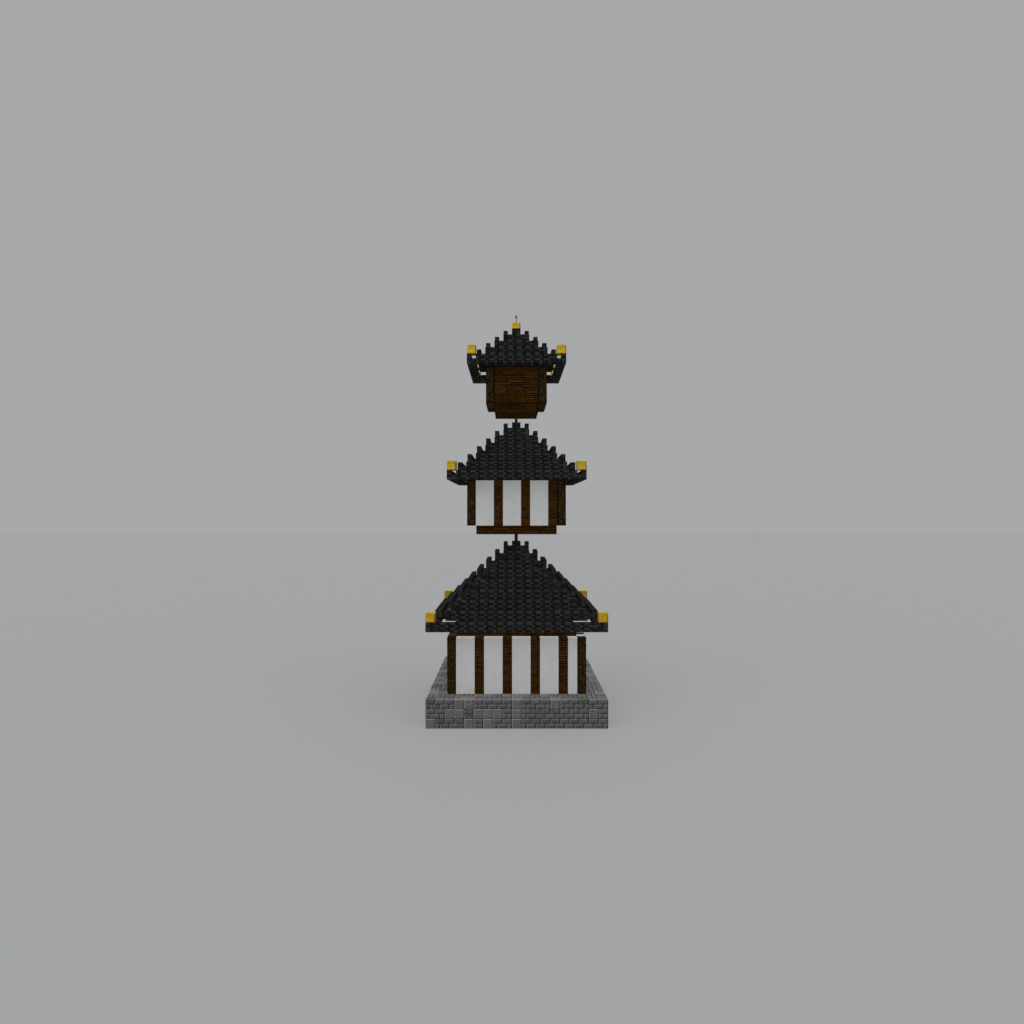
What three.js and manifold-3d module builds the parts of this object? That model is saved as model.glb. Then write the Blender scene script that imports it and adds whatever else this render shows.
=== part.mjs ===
// A three-storey pagoda of stone, timber and plaster, as a scale model at 1:2.
// Millimetres, +Z up. The origin is on the ground under the middle of the plinth, and the front faces -Y.

import * as THREE from 'three';
import { mergeVertices } from 'three/addons/utils/BufferGeometryUtils.js';
import Module from 'manifold-3d';

const wasm = await Module();
wasm.setup();

// Driving dimensions

// The real building is set out on modules of one metre.
const REAL_MODULE = 1000;
const SCALE = 0.5;
const MODULE = REAL_MODULE * SCALE;

// Pieces that touch keep this clearance.
const FIT = 0.3;

// Widths and heights in modules, measured from the ground.
const PLINTH = { width: 19, height: 3 };
const STOREYS = [
  { name: 'storey1', width: 15, foot: 3, height: 6, hasFloorDeck: false, boardedSides: ['left'] },
  { name: 'storey2', width: 11, foot: 21, height: 5, hasFloorDeck: true, boardedSides: [] },
  {
    name: 'storey3',
    width: 7,
    foot: 35,
    height: 4,
    hasFloorDeck: true,
    boardedSides: ['front', 'right', 'back', 'left'],
  },
];
const ROOFS = [
  { name: 'roof1', width: 19, foot: 10 },
  { name: 'roof2', width: 15, foot: 26 },
  { name: 'roof3', width: 11, foot: 39 },
];

// A post stands on every third module of a wall, counted from the left on the front and back walls
// and from the back on the side walls.
const POST_SPACING = 3;

// Timber plates inside the walls, as parts of a module.
const PLATE_HEIGHT = 0.4 * MODULE;
const PLATE_OUTER_FACE = 0.5 * MODULE;
const LEDGE_REACH = 0.5 * MODULE;
const HEAD_COVER = 0.1 * MODULE;
const LINING = 0.2 * MODULE;

// The hidden beams that hold the eaves out, and the struts on them.
const BEAM_WIDTH = 0.3 * MODULE;
const BEAM_HEIGHT = 0.2 * MODULE;
const BEAM_START = 0.75 * MODULE;
const BEAM_SPACING = 8;
const STRUT_LENGTH = 0.4 * MODULE;
const STRUT_INSET = 0.3 * MODULE;
const STRUT_OVERLAP = 0.1 * MODULE;

// The heart pillar gets thinner at each upper floor, which rests on the shoulder.
const PILLAR_HALF_WIDTHS = [0.2 * MODULE, 0.16 * MODULE, 0.12 * MODULE];

// The finial: a thin rod with a thicker head that narrows at its shoulder and its crown.
const FINIAL = {
  rodRadius: 25,
  headRadius: 60,
  headFoot: 325,
  shoulder: 20,
  crown: 45,
  height: 500,
  sides: 16,
};

const SIDES = [
  { name: 'front', turn: 0, holdsCorners: true },
  { name: 'right', turn: Math.PI / 2, holdsCorners: false },
  { name: 'back', turn: Math.PI, holdsCorners: true },
  { name: 'left', turn: -Math.PI / 2, holdsCorners: false },
];

// Materials

const stone = new THREE.MeshStandardMaterial({ color: 0x6b6b68, roughness: 0.9, metalness: 0 });
const timber = new THREE.MeshStandardMaterial({ color: 0x3a2814, roughness: 0.8, metalness: 0 });
const board = new THREE.MeshStandardMaterial({ color: 0x34210e, roughness: 0.75, metalness: 0 });
const plaster = new THREE.MeshStandardMaterial({ color: 0xd8d8d5, roughness: 0.95, metalness: 0 });
const slate = new THREE.MeshStandardMaterial({ color: 0x2a2a2b, roughness: 0.85, metalness: 0 });
const gilt = new THREE.MeshStandardMaterial({ color: 0xd6ac2e, roughness: 0.4, metalness: 0.9 });
const copper = new THREE.MeshStandardMaterial({ color: 0x8d4e40, roughness: 0.6, metalness: 0.6 });

// Solids

function solidFrom(geometry) {
  const bare = geometry.clone();
  bare.deleteAttribute('normal');
  bare.deleteAttribute('uv');
  const merged = mergeVertices(bare);
  return new wasm.Manifold(
    new wasm.Mesh({
      numProp: 3,
      vertProperties: new Float32Array(merged.attributes.position.array),
      triVerts: new Uint32Array(merged.index.array),
    }),
  );
}

// A box given by its range on each axis.
function box([x0, x1], [y0, y1], [z0, z1]) {
  const unitBox = new THREE.BoxGeometry(1, 1, 1);
  unitBox.translate(0.5, 0.5, 0.5);
  // One matrix step keeps faces that should coincide on exactly the same plane.
  const toRanges = new THREE.Matrix4().makeScale(x1 - x0, y1 - y0, z1 - z0).setPosition(x0, y0, z0);
  return solidFrom(unitBox.applyMatrix4(toRanges));
}

// A bar along X whose section is given by corners in Y and Z.
function bar([x0, x1], corners) {
  const section = new THREE.Shape(corners.map(([y, z]) => new THREE.Vector2(y, z)));
  const geometry = new THREE.ExtrudeGeometry(section, { depth: x1 - x0, bevelEnabled: false });
  const sectionToWorld = new THREE.Matrix4().makeBasis(
    new THREE.Vector3(0, 1, 0),
    new THREE.Vector3(0, 0, 1),
    new THREE.Vector3(1, 0, 0),
  );
  geometry.applyMatrix4(sectionToWorld);
  geometry.translate(x0, 0, 0);
  return solidFrom(geometry);
}

function joined(solids) {
  return solids.reduce((whole, solid) => whole.add(solid));
}

function without(solid, cutters) {
  return cutters.reduce((rest, cutter) => rest.subtract(cutter), solid);
}

function meshOf(name, solid, material) {
  const { vertProperties, triVerts } = solid.getMesh();
  const geometry = new THREE.BufferGeometry();
  geometry.setAttribute('position', new THREE.BufferAttribute(vertProperties, 3));
  geometry.setIndex(new THREE.BufferAttribute(triVerts, 1));
  geometry.computeVertexNormals();
  const mesh = new THREE.Mesh(geometry, material);
  mesh.name = name;
  return mesh;
}

// Walls
// Each wall is made in its own frame: X along the wall, Y inward from its outer face, Z up from its foot.

// The heights that the plates take up in a storey's walls.
function plateHeights(storey) {
  const top = storey.height * MODULE - HEAD_COVER;
  return { sole: [FIT, PLATE_HEIGHT], head: [top - PLATE_HEIGHT, top] };
}

// The columns, one module wide, that are posts.
function postColumns(storey, side) {
  const last = storey.width - 1;
  const countsFromFarEnd = side.name === 'right' || side.name === 'back';
  const columns = [];
  for (let column = 1; column < last; column += 1) {
    const index = countsFromFarEnd ? last - column : column;
    if (index % POST_SPACING === 0) columns.push(column);
  }
  return columns;
}

// How far the wall, its inner ledges and its lining reach each way from the middle.
function wallReach(storey, side) {
  const half = (storey.width * MODULE) / 2;
  const room = half - MODULE - FIT;
  if (side.holdsCorners) return { wall: room, ledge: room, lining: room };
  return { wall: room, ledge: room - LEDGE_REACH, lining: room - LINING };
}

// Ledges on the inner side: the lower one stands on the floor deck, the upper one carries the ceiling deck.
function ledges(storey, side) {
  const reach = wallReach(storey, side).ledge;
  const heights = plateHeights(storey);
  const along = [-reach, reach];
  const inward = [MODULE, MODULE + LEDGE_REACH];
  const upper = box(along, inward, [heights.head[0], storey.height * MODULE - FIT]);
  if (!storey.hasFloorDeck) return [upper];
  return [upper, box(along, inward, heights.sole)];
}

// Corner logs, posts and the plates that tie them, which lie inside the wall.
function timberFrame(storey, side, columns) {
  const half = (storey.width * MODULE) / 2;
  const reach = wallReach(storey, side).wall;
  const upright = [FIT, storey.height * MODULE];
  const depth = [0, MODULE];
  const heights = plateHeights(storey);
  const tie = side.holdsCorners ? [-half + MODULE / 2, half - MODULE / 2] : [-reach, reach];
  const pieces = [
    box(tie, [PLATE_OUTER_FACE, MODULE], heights.sole),
    box(tie, [PLATE_OUTER_FACE, MODULE], heights.head),
    ...ledges(storey, side),
  ];
  if (side.holdsCorners) {
    pieces.push(box([-half, -half + MODULE], depth, upright));
    pieces.push(box([half - MODULE, half], depth, upright));
  }
  for (const column of columns) {
    const left = -half + column * MODULE;
    pieces.push(box([left, left + MODULE], depth, upright));
  }
  return joined(pieces);
}

// What fills a frame: panels between the uprights, joined by a lining behind them.
function infill(storey, side, columns) {
  const half = (storey.width * MODULE) / 2;
  const reach = wallReach(storey, side);
  const heights = plateHeights(storey);
  const lined = [heights.sole[1] + FIT, heights.head[0] - FIT];
  const pieces = [box([-reach.lining, reach.lining], [MODULE + FIT, MODULE + LINING], lined)];
  const behind = [PLATE_OUTER_FACE - FIT, MODULE + FIT];
  const widened = [-half, half];
  const plateSlots = [
    box(widened, behind, [0, heights.sole[1] + FIT]),
    box(widened, behind, [heights.head[0] - FIT, heights.head[1] + FIT]),
  ];
  const stops = [0, ...columns, storey.width - 1];
  for (let stop = 1; stop < stops.length; stop += 1) {
    const left = -half + (stops[stop - 1] + 1) * MODULE + FIT;
    const right = -half + stops[stop] * MODULE - FIT;
    const postsStandSideBySide = right < left;
    if (postsStandSideBySide) continue;
    const panel = box([left, right], [0, MODULE], [FIT, storey.height * MODULE]);
    pieces.push(without(panel, plateSlots));
    const joint = [Math.max(left, -reach.lining), Math.min(right, reach.lining)];
    pieces.push(box(joint, [PLATE_OUTER_FACE, MODULE + LINING], lined));
  }
  return joined(pieces);
}

// A wall of boards right through, with its ledges.
function boardedWall(storey, side) {
  const reach = wallReach(storey, side).wall;
  const wall = box([-reach, reach], [0, MODULE], [FIT, storey.height * MODULE]);
  return joined([wall, ...ledges(storey, side)]);
}

// The pieces of one wall.
function wallMeshes(storey, side) {
  const name = `${storey.name}_${side.name}`;
  const isBoarded = storey.boardedSides.includes(side.name);
  if (isBoarded && !side.holdsCorners) {
    return [meshOf(`${name}_boards`, boardedWall(storey, side), board)];
  }
  const columns = isBoarded ? [] : postColumns(storey, side);
  const filling = isBoarded ? 'boards' : 'plaster';
  return [
    meshOf(`${name}_frame`, timberFrame(storey, side, columns), timber),
    meshOf(`${name}_${filling}`, infill(storey, side, columns), isBoarded ? board : plaster),
  ];
}

// A group for one side of the building, turned so that its Y points inward.
function sideGroup(side, halfWidth, foot) {
  const shifted = new THREE.Group();
  shifted.position.set(0, -halfWidth, foot);
  const turned = new THREE.Group();
  turned.rotation.z = side.turn;
  turned.add(shifted);
  return { turned, shifted };
}

// Decks and the heart pillar

// The pillar's lengths: from the plinth to each upper floor deck in turn, and then to the apex.
const pillarStops = [
  ...STOREYS.filter((storey) => storey.hasFloorDeck).map((storey) => (storey.foot - 1) * MODULE),
  capTop(ROOFS[ROOFS.length - 1]) * MODULE,
];

function capTop(roof) {
  return roof.foot + (roof.width - 1) / 2;
}

// Half the pillar's width where it passes through a piece whose underside is at this height.
function pillarHalfWidthAt(height) {
  const length = pillarStops.findIndex((stop) => height < stop);
  return PILLAR_HALF_WIDTHS[length];
}

function heartPillar() {
  const lengths = PILLAR_HALF_WIDTHS.map((half, index) => {
    const foot = index === 0 ? PLINTH.height * MODULE + FIT : pillarStops[index - 1] - FIT;
    return box([-half, half], [-half, half], [foot, pillarStops[index] - FIT]);
  });
  return meshOf('heart_pillar', joined(lengths), timber);
}

// A square slab one module thick, with a hole for the pillar.
function slabRoundPillar(halfWidth, foot) {
  const hole = pillarHalfWidthAt(foot) + FIT;
  const slab = box([-halfWidth, halfWidth], [-halfWidth, halfWidth], [foot, foot + MODULE]);
  const cutter = box([-hole, hole], [-hole, hole], [foot - MODULE, foot + 2 * MODULE]);
  return slab.subtract(cutter);
}

function deckMeshes(storey) {
  const half = (storey.width * MODULE) / 2 - MODULE;
  const ceilingFoot = (storey.foot + storey.height) * MODULE;
  const decks = [meshOf(`${storey.name}_ceiling`, slabRoundPillar(half, ceilingFoot), board)];
  if (storey.hasFloorDeck) {
    decks.push(meshOf(`${storey.name}_floor`, slabRoundPillar(half, (storey.foot - 1) * MODULE), board));
  }
  return decks;
}

// Roofs
// Each slope is made in its own frame: X along the eave, Y inward from it, Z up from the roof's foot.

// One course: a full-height lip on the outer half and a half-height tread behind it.
function course(index, reach) {
  const front = index * MODULE;
  const back = front + MODULE;
  const middle = front + MODULE / 2;
  return bar([-reach, reach], [
    [front, front],
    [back, front],
    [back, middle],
    [middle, middle],
    [middle, back],
    [front, back],
  ]);
}

// The course behind a stepped course, under the foot of the next one. Each side leaves its right-hand end
// to the side next to it, so that the four of them close a ring.
function backing(index, roofHalfWidth) {
  const outer = roofHalfWidth - (index + 1) * MODULE;
  return box(
    [-outer + FIT, outer - MODULE - FIT],
    [(index + 1) * MODULE, (index + 2) * MODULE - FIT],
    [index * MODULE, (index + 1) * MODULE],
  );
}

// A beam that lies across its seat and holds the eave out, with a strut on it under the courses above.
function eaveBeam(offset, seatRow) {
  const across = [offset - BEAM_WIDTH / 2, offset + BEAM_WIDTH / 2];
  const beam = box(across, [BEAM_START, (seatRow + 1) * MODULE - FIT], [FIT, BEAM_HEIGHT]);
  const strutFront = seatRow * MODULE + STRUT_INSET;
  const strutTop = (seatRow - 1) * MODULE + STRUT_OVERLAP;
  const strut = box(
    across,
    [strutFront, strutFront + STRUT_LENGTH],
    [BEAM_HEIGHT - STRUT_OVERLAP, strutTop],
  );
  return beam.add(strut);
}

// Half the width, in modules, of what is level with the roof's foot and carries it: the ceiling deck where
// its top is, and else the walls.
function seatHalfWidth(roof, storey) {
  const wallTop = storey.foot + storey.height;
  return storey.width / 2 - (roof.foot - wallTop);
}

function slope(roof, storey, side) {
  const half = (roof.width * MODULE) / 2;
  const rings = (roof.width - 1) / 2;
  const pieces = [];
  for (let ring = 0; ring < rings; ring += 1) {
    // The side slopes own the eave's corners; above the eave the corners are open.
    const ownsCorners = ring === 0 && !side.holdsCorners;
    const inset = ownsCorners ? 0 : MODULE + FIT;
    pieces.push(course(ring, half - ring * MODULE - inset));
    // The eave is open behind, and the cap closes the top course.
    if (ring > 0 && ring < rings - 1) pieces.push(backing(ring, half));
  }
  const seatHalf = seatHalfWidth(roof, storey);
  const furthest = seatHalf - 1.5;
  const steps = Math.ceil((2 * furthest) / BEAM_SPACING);
  for (let step = 0; step <= steps; step += 1) {
    const offset = furthest * ((2 * step) / steps - 1);
    pieces.push(eaveBeam(offset * MODULE, roof.width / 2 - seatHalf));
  }
  return joined(pieces);
}

// The cap block in the middle of the top course.
function capMesh(roof) {
  const foot = (capTop(roof) - 1) * MODULE;
  return meshOf(`${roof.name}_cap`, slabRoundPillar(MODULE / 2 - FIT, foot), slate);
}

// The gilt blocks on the corners of the eave.
function cornerBlockMeshes(roof) {
  const outer = (roof.width * MODULE) / 2;
  const inner = outer - MODULE;
  const foot = (roof.foot + 1) * MODULE;
  const places = [
    { name: 'front_left', x: [-outer, -inner], y: [-outer, -inner] },
    { name: 'front_right', x: [inner, outer], y: [-outer, -inner] },
    { name: 'back_left', x: [-outer, -inner], y: [inner, outer] },
    { name: 'back_right', x: [inner, outer], y: [inner, outer] },
  ];
  return places.map(({ name, x, y }) => (
    meshOf(`${roof.name}_${name}_gilt_block`, box(x, y, [foot + FIT, foot + MODULE]), gilt)
  ));
}

// Top

function apexBlock() {
  const half = MODULE / 2;
  const foot = capTop(ROOFS[ROOFS.length - 1]) * MODULE;
  return meshOf('apex_gilt_block', box([-half, half], [-half, half], [foot + FIT, foot + MODULE]), gilt);
}

function finial() {
  const { rodRadius, headRadius, headFoot, shoulder, crown, height, sides } = FINIAL;
  const profile = [
    [0, 0],
    [rodRadius, 0],
    [rodRadius, headFoot],
    [headRadius, headFoot + shoulder],
    [headRadius, height - crown],
    [rodRadius, height],
    [0, height],
  ].map(([radius, z]) => new THREE.Vector2(radius, z));
  const geometry = new THREE.LatheGeometry(profile, sides);
  geometry.rotateX(Math.PI / 2);
  const mesh = meshOf('finial', solidFrom(geometry), copper);
  mesh.position.z = (capTop(ROOFS[ROOFS.length - 1]) + 1) * MODULE + FIT;
  return mesh;
}

// Assembly

const pagoda = new THREE.Group();

const plinthHalf = (PLINTH.width * MODULE) / 2;
const plinthRange = [-plinthHalf, plinthHalf];
const plinth = box(plinthRange, plinthRange, [0, PLINTH.height * MODULE]);
pagoda.add(meshOf('stone_plinth', plinth, stone));

pagoda.add(heartPillar());

STOREYS.forEach((storey, index) => {
  const roof = ROOFS[index];
  for (const side of SIDES) {
    const walls = sideGroup(side, (storey.width * MODULE) / 2, storey.foot * MODULE);
    walls.shifted.add(...wallMeshes(storey, side));
    pagoda.add(walls.turned);
    const eaves = sideGroup(side, (roof.width * MODULE) / 2, roof.foot * MODULE);
    eaves.shifted.add(meshOf(`${roof.name}_${side.name}_slope`, slope(roof, storey, side), slate));
    pagoda.add(eaves.turned);
  }
  pagoda.add(...deckMeshes(storey), capMesh(roof), ...cornerBlockMeshes(roof));
});

pagoda.add(apexBlock(), finial());

export default pagoda;
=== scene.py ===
# %% [markdown]
# A three-tier pagoda on its stone plinth, as a scale model at 1:2.
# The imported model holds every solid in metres, with the front facing -Y and +Z up. This script dresses
# them: each stone, board, log, panel, brick and gilt block is modelled at the place its solid has.

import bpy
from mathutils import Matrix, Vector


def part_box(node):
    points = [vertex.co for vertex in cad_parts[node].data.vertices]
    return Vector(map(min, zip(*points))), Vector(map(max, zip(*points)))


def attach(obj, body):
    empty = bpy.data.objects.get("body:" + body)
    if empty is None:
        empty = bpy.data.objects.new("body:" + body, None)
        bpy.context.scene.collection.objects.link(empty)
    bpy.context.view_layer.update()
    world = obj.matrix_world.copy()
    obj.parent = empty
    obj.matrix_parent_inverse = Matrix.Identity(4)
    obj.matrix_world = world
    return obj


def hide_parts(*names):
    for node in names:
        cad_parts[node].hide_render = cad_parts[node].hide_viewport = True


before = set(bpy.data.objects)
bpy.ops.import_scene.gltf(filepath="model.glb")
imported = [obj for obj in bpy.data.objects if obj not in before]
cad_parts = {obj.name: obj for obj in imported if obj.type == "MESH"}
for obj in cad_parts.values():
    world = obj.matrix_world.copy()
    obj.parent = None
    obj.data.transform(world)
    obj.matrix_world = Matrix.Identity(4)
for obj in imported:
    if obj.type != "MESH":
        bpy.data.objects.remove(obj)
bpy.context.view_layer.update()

# %% [markdown]
# Setting out
# The whole building stands on one square module. Its sizes could be written down again here, but a
# second set of sizes drifts from the first. So the plinth's width gives the module, and storeys and
# roofs are read from the boxes of their solids, without the small clearance that touching solids keep.

# %% The module and the sides
import math
from collections import namedtuple

import bpy
import bmesh
import numpy as np
from mathutils import Matrix, Vector

PLINTH_MODULES = 19
plinth_low, plinth_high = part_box("stone_plinth")
MODULE = (plinth_high.x - plinth_low.x) / PLINTH_MODULES
HALF = MODULE / 2
QUARTER = MODULE / 4

# All is laid out on the front, and this many quarter turns bring it to each side.
SIDES = {"front": 0, "right": 1, "back": 2, "left": 3}
CORNER_SIDES = ("front", "back")
print("module:", round(MODULE, 4))


def on_grid(length):
    """A measure of the frame, put back on the half-module grid."""
    return round(length / HALF) * HALF


# %% Reading the storeys and roofs
Storey = namedtuple("Storey", "name half foot top boarded has_floor")
Roof = namedtuple("Roof", "name half foot rings")


def read_storey(name):
    low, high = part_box(f"{name}_front_frame")
    boarded = [side for side in SIDES if f"{name}_{side}_boards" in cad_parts]
    has_floor = f"{name}_floor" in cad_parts
    return Storey(name, on_grid(high.x), on_grid(low.z), on_grid(high.z), boarded, has_floor)


def read_roof(name):
    low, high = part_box(f"{name}_right_slope")
    rings = round((high.x - HALF) / MODULE)
    return Roof(name, on_grid(high.x), on_grid(low.z), rings)


storeys = [read_storey(name) for name in ("storey1", "storey2", "storey3")]
roofs = [read_roof(name) for name in ("roof1", "roof2", "roof3")]
for part in storeys + roofs:
    print(part)

# %% [markdown]
# Adding nodes
# Every finish is a tree of nodes. The node editor's own operators need a window, so one small function
# adds a node, sets its properties and fills its sockets. Colours are written as sRGB hex, as a paint
# chart gives them, and are turned linear for the shader.

# %% Adding nodes


def linear(hex_colour):
    """An sRGB hex colour as linear red, green, blue and alpha, by the standard sRGB curve."""
    colour = []
    for place in (1, 3, 5):
        share = int(hex_colour[place:place + 2], 16) / 255
        colour.append(share / 12.92 if share <= 0.04045 else ((share + 0.055) / 1.055) ** 2.4)
    return (*colour, 1)


def in_use(sockets, name=None):
    """The first of the sockets that the node's settings leave in use, or the first of that name."""
    return next(socket for socket in sockets if socket.enabled and name in (None, socket.name))


def fill(tree, node, sockets):
    """Fills named or numbered sockets, each with a value, a hex colour, a node or a node's output."""
    for key, value in sockets.items():
        socket = in_use(node.inputs, key) if isinstance(key, str) else node.inputs[key]
        if isinstance(value, bpy.types.Node):
            value = in_use(value.outputs)
        if isinstance(value, bpy.types.NodeSocket):
            tree.links.new(value, socket)
        else:
            socket.default_value = linear(value) if isinstance(value, str) else value


def add(tree, kind, sockets=None, **settings):
    """Adds a node, sets its properties and fills its sockets."""
    node = tree.nodes.new(kind)
    for name, value in settings.items():
        setattr(node, name, value)
    fill(tree, node, sockets or {})
    return node


def new_material(name):
    """A new material, its tree of nodes and its shader."""
    material = bpy.data.materials.new(name)
    material.use_nodes = True
    tree = material.node_tree
    return material, tree, tree.nodes["Principled BSDF"]


# %% [markdown]
# Laid blocks
# Masonry and timberwork are the same block over and over: a stone, a brick or a board with its arrises
# taken off. Each could be a cube of its own, but that takes thousands of operators. So one cube is
# bevelled, and its points are copied and stretched to each block's place, while the bevel keeps its
# width. Every point remembers where it lies on its own block, so a finish can darken the joints, and
# the grain of one board never runs on into the next.

# %% The pattern block
PATTERN_ARRIS = 0.1


def arrises_off(piece, width, segments=1):
    """Takes the sharp edges off a piece by a bevel modifier, and applies it."""
    softened = piece.modifiers.new("arrises", "BEVEL")
    softened.width = width
    softened.segments = segments
    softened.limit_method = "ANGLE"
    bpy.ops.object.modifier_apply(modifier=softened.name)


bpy.ops.object.select_all(action="DESELECT")
bpy.ops.mesh.primitive_cube_add(size=2)
pattern = bpy.context.object
arrises_off(pattern, PATTERN_ARRIS)
pattern_points = np.array([point.co for point in pattern.data.vertices])
pattern_faces = [list(face.vertices) for face in pattern.data.polygons]
bpy.data.objects.remove(pattern)
print("pattern block:", len(pattern_points), "points,", len(pattern_faces), "faces")

# %% Laying blocks
Block = namedtuple("Block", "low high turn flat tone")

# On a block, X runs along it, Z up its face and Y into the wall. A flat one lies on its back.
LYING = [0, 2, 1]


def block(x, y, z, turn=0, flat=False, tone=None):
    """A block by its range on each axis, as seen on the front, and its quarter turns."""
    return Block((x[0], y[0], z[0]), (x[1], y[1], z[1]), turn, flat, tone)


def turned(points, turns):
    """Points turned about the vertical axis by whole quarter turns, so that nothing is rounded."""
    result = points.copy()
    for quarter in (1, 2, 3):
        again = turns >= quarter
        x = result[again, :, 0].copy()
        result[again, :, 0] = -result[again, :, 1]
        result[again, :, 1] = x
    return result


def tell_place(mesh, local, half, tone):
    """Keeps, for the finishes, each point's place on its block, the block's half size and its tone."""
    mesh.attributes.new("local", "FLOAT_VECTOR", "POINT").data.foreach_set("vector", local.ravel())
    mesh.attributes.new("half", "FLOAT_VECTOR", "POINT").data.foreach_set("vector", half.ravel())
    mesh.attributes.new("tone", "FLOAT", "POINT").data.foreach_set("value", tone.ravel())


def new_object(name, data):
    """A new object in the scene, at the origin."""
    made = bpy.data.objects.new(name, data)
    bpy.context.scene.collection.objects.link(made)
    return made


def laid(name, blocks, arris, unevenness, seed):
    """One mesh with a copy of the pattern block at each place."""
    chance = np.random.default_rng(seed)
    low = np.array([each.low for each in blocks])[:, None, :]
    high = np.array([each.high for each in blocks])[:, None, :]
    half = (high - low) / 2 + np.zeros((1, len(pattern_points), 1))

    # A point keeps its distance from the nearest face, however far the block is stretched.
    from_face = (1 - np.abs(pattern_points)) * arris / PATTERN_ARRIS
    local = np.sign(pattern_points) * (half - from_face)
    local += chance.uniform(-unevenness, unevenness, local.shape)
    points = turned(local + (low + high) / 2, np.array([each.turn for each in blocks]))

    # What the finish reads: a flat block's own axes lie down with it, and a block has one tone.
    lies = np.array([each.flat for each in blocks])
    local[lies] = local[lies][:, :, LYING]
    half[lies] = half[lies][:, :, LYING]
    tones = [chance.uniform() if each.tone is None else each.tone for each in blocks]
    tone = np.repeat(tones, len(pattern_points))

    mesh = bpy.data.meshes.new(name)
    starts = range(0, len(blocks) * len(pattern_points), len(pattern_points))
    faces = [[start + corner for corner in face] for start in starts for face in pattern_faces]
    mesh.from_pydata(points.reshape(-1, 3), [], faces)
    tell_place(mesh, local, half, tone)
    return new_object(name, mesh)


# %% [markdown]
# Handing a piece over
# A finished piece gets its materials, rides on the building and stands for the solids that it replaces.
# One function does all three, so that no piece misses one.

# %% Handing a piece over
made_triangles = {}


def hand_over(piece, materials, slot, *nodes):
    """Finishes a piece that stands for the given solids, and notes its number of triangles."""
    for material in materials:
        piece.data.materials.append(material)
    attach(piece, "root")
    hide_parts(*nodes)
    made_triangles[piece.name] = sum(len(face.vertices) - 2 for face in piece.data.polygons)
    return piece


def triangles_of(*endings):
    """The triangles of each piece whose name ends so."""
    return {name: count for name, count in made_triangles.items() if name.endswith(endings)}


# %% [markdown]
# Reading a block's places in a finish
# A pattern on the object's coordinates alone would run on across the joints. So a block's finish reads
# five things: the block's own grain space, how far a point lies from the nearest arris of its face,
# whether that is towards the upper left, how high it lies, and the block's tone. All come from the
# place, half size and tone that every point keeps.

# %% Reading a block's places
GRAIN_SHIFT = (37.0, 91.0, 53.0)
# Beyond this share of its half length, a block's surface is its end face.
END_FACE = 0.98
Places = namedtuple("Places", "grain edge lean height tone")


def block_places(tree):
    local = add(tree, "ShaderNodeAttribute", attribute_name="local").outputs["Vector"]
    half = add(tree, "ShaderNodeAttribute", attribute_name="half").outputs["Vector"]
    tone = add(tree, "ShaderNodeAttribute", attribute_name="tone").outputs["Fac"]

    # Each block's grain starts somewhere else in the noise, so that no two are alike.
    shift = add(tree, "ShaderNodeVectorMath", {0: GRAIN_SHIFT, "Scale": tone}, operation="SCALE")
    grain = add(tree, "ShaderNodeVectorMath", {0: local, 1: shift}, operation="ADD")

    # On a face one of the three distances is nought, so the middle one leads to the nearest arris.
    from_middle = add(tree, "ShaderNodeVectorMath", {0: local}, operation="ABSOLUTE")
    from_side = add(tree, "ShaderNodeVectorMath", {0: half, 1: from_middle}, operation="SUBTRACT")
    x, y, z = add(tree, "ShaderNodeSeparateXYZ", {0: from_side}).outputs
    nearer = add(tree, "ShaderNodeMath", {0: x, 1: y}, operation="MINIMUM")
    farther = add(tree, "ShaderNodeMath", {0: x, 1: y}, operation="MAXIMUM")
    upper = add(tree, "ShaderNodeMath", {0: farther, 1: z}, operation="MINIMUM")
    edge = add(tree, "ShaderNodeMath", {0: nearer, 1: upper}, operation="MAXIMUM")

    # What runs across an end face is Y, because X stands still there.
    share = add(tree, "ShaderNodeVectorMath", {0: local, 1: half}, operation="DIVIDE")
    along, inwards, up = add(tree, "ShaderNodeSeparateXYZ", {0: share}).outputs
    length_share = add(tree, "ShaderNodeMath", {0: along}, operation="ABSOLUTE")
    at_end = add(tree, "ShaderNodeMath", {0: length_share, 1: END_FACE}, operation="GREATER_THAN")
    change = add(tree, "ShaderNodeMath", {0: inwards, 1: 1.0}, operation="SUBTRACT")
    swapped = add(tree, "ShaderNodeMath", {0: at_end, 1: change, 2: 1.0}, operation="MULTIPLY_ADD")
    rightwards = add(tree, "ShaderNodeMath", {0: along, 1: swapped}, operation="MULTIPLY")
    lean = add(tree, "ShaderNodeMath", {0: up, 1: rightwards}, operation="SUBTRACT")
    return Places(grain, edge, lean, up, tone)


# %% [markdown]
# Steps that the finishes share
# A finish starts as two shades of one colour, dealt out by a pattern. Most go on with a tone for each
# block, and with another colour near the arrises. A colour ramp could deal out the shades, but its stops
# can't be colours that other nodes give, and the relief needs the share that it was dealt out by.

# %% Steps that the finishes share


def laid_over(tree, value, between, under, over, most=1.0):
    """Lays one colour over another between two values. Gives the covered share and the colour."""
    values = {"Value": value, "From Min": between[0], "From Max": between[1], "To Max": most}
    share = add(tree, "ShaderNodeMapRange", values)
    return share, add(tree, "ShaderNodeMix", {"Factor": share, "A": under, "B": over}, data_type="RGBA")


def toned(tree, places, colour, tones):
    """Makes a colour as bright as its block's tone says, from the darkest to the palest and beyond."""
    values = {"Value": places.tone, "To Min": tones[0], "To Max": tones[1]}
    brightness = add(tree, "ShaderNodeMapRange", values, clamp=False)
    return add(tree, "ShaderNodeVectorMath", {0: colour, "Scale": brightness}, operation="SCALE")
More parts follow.
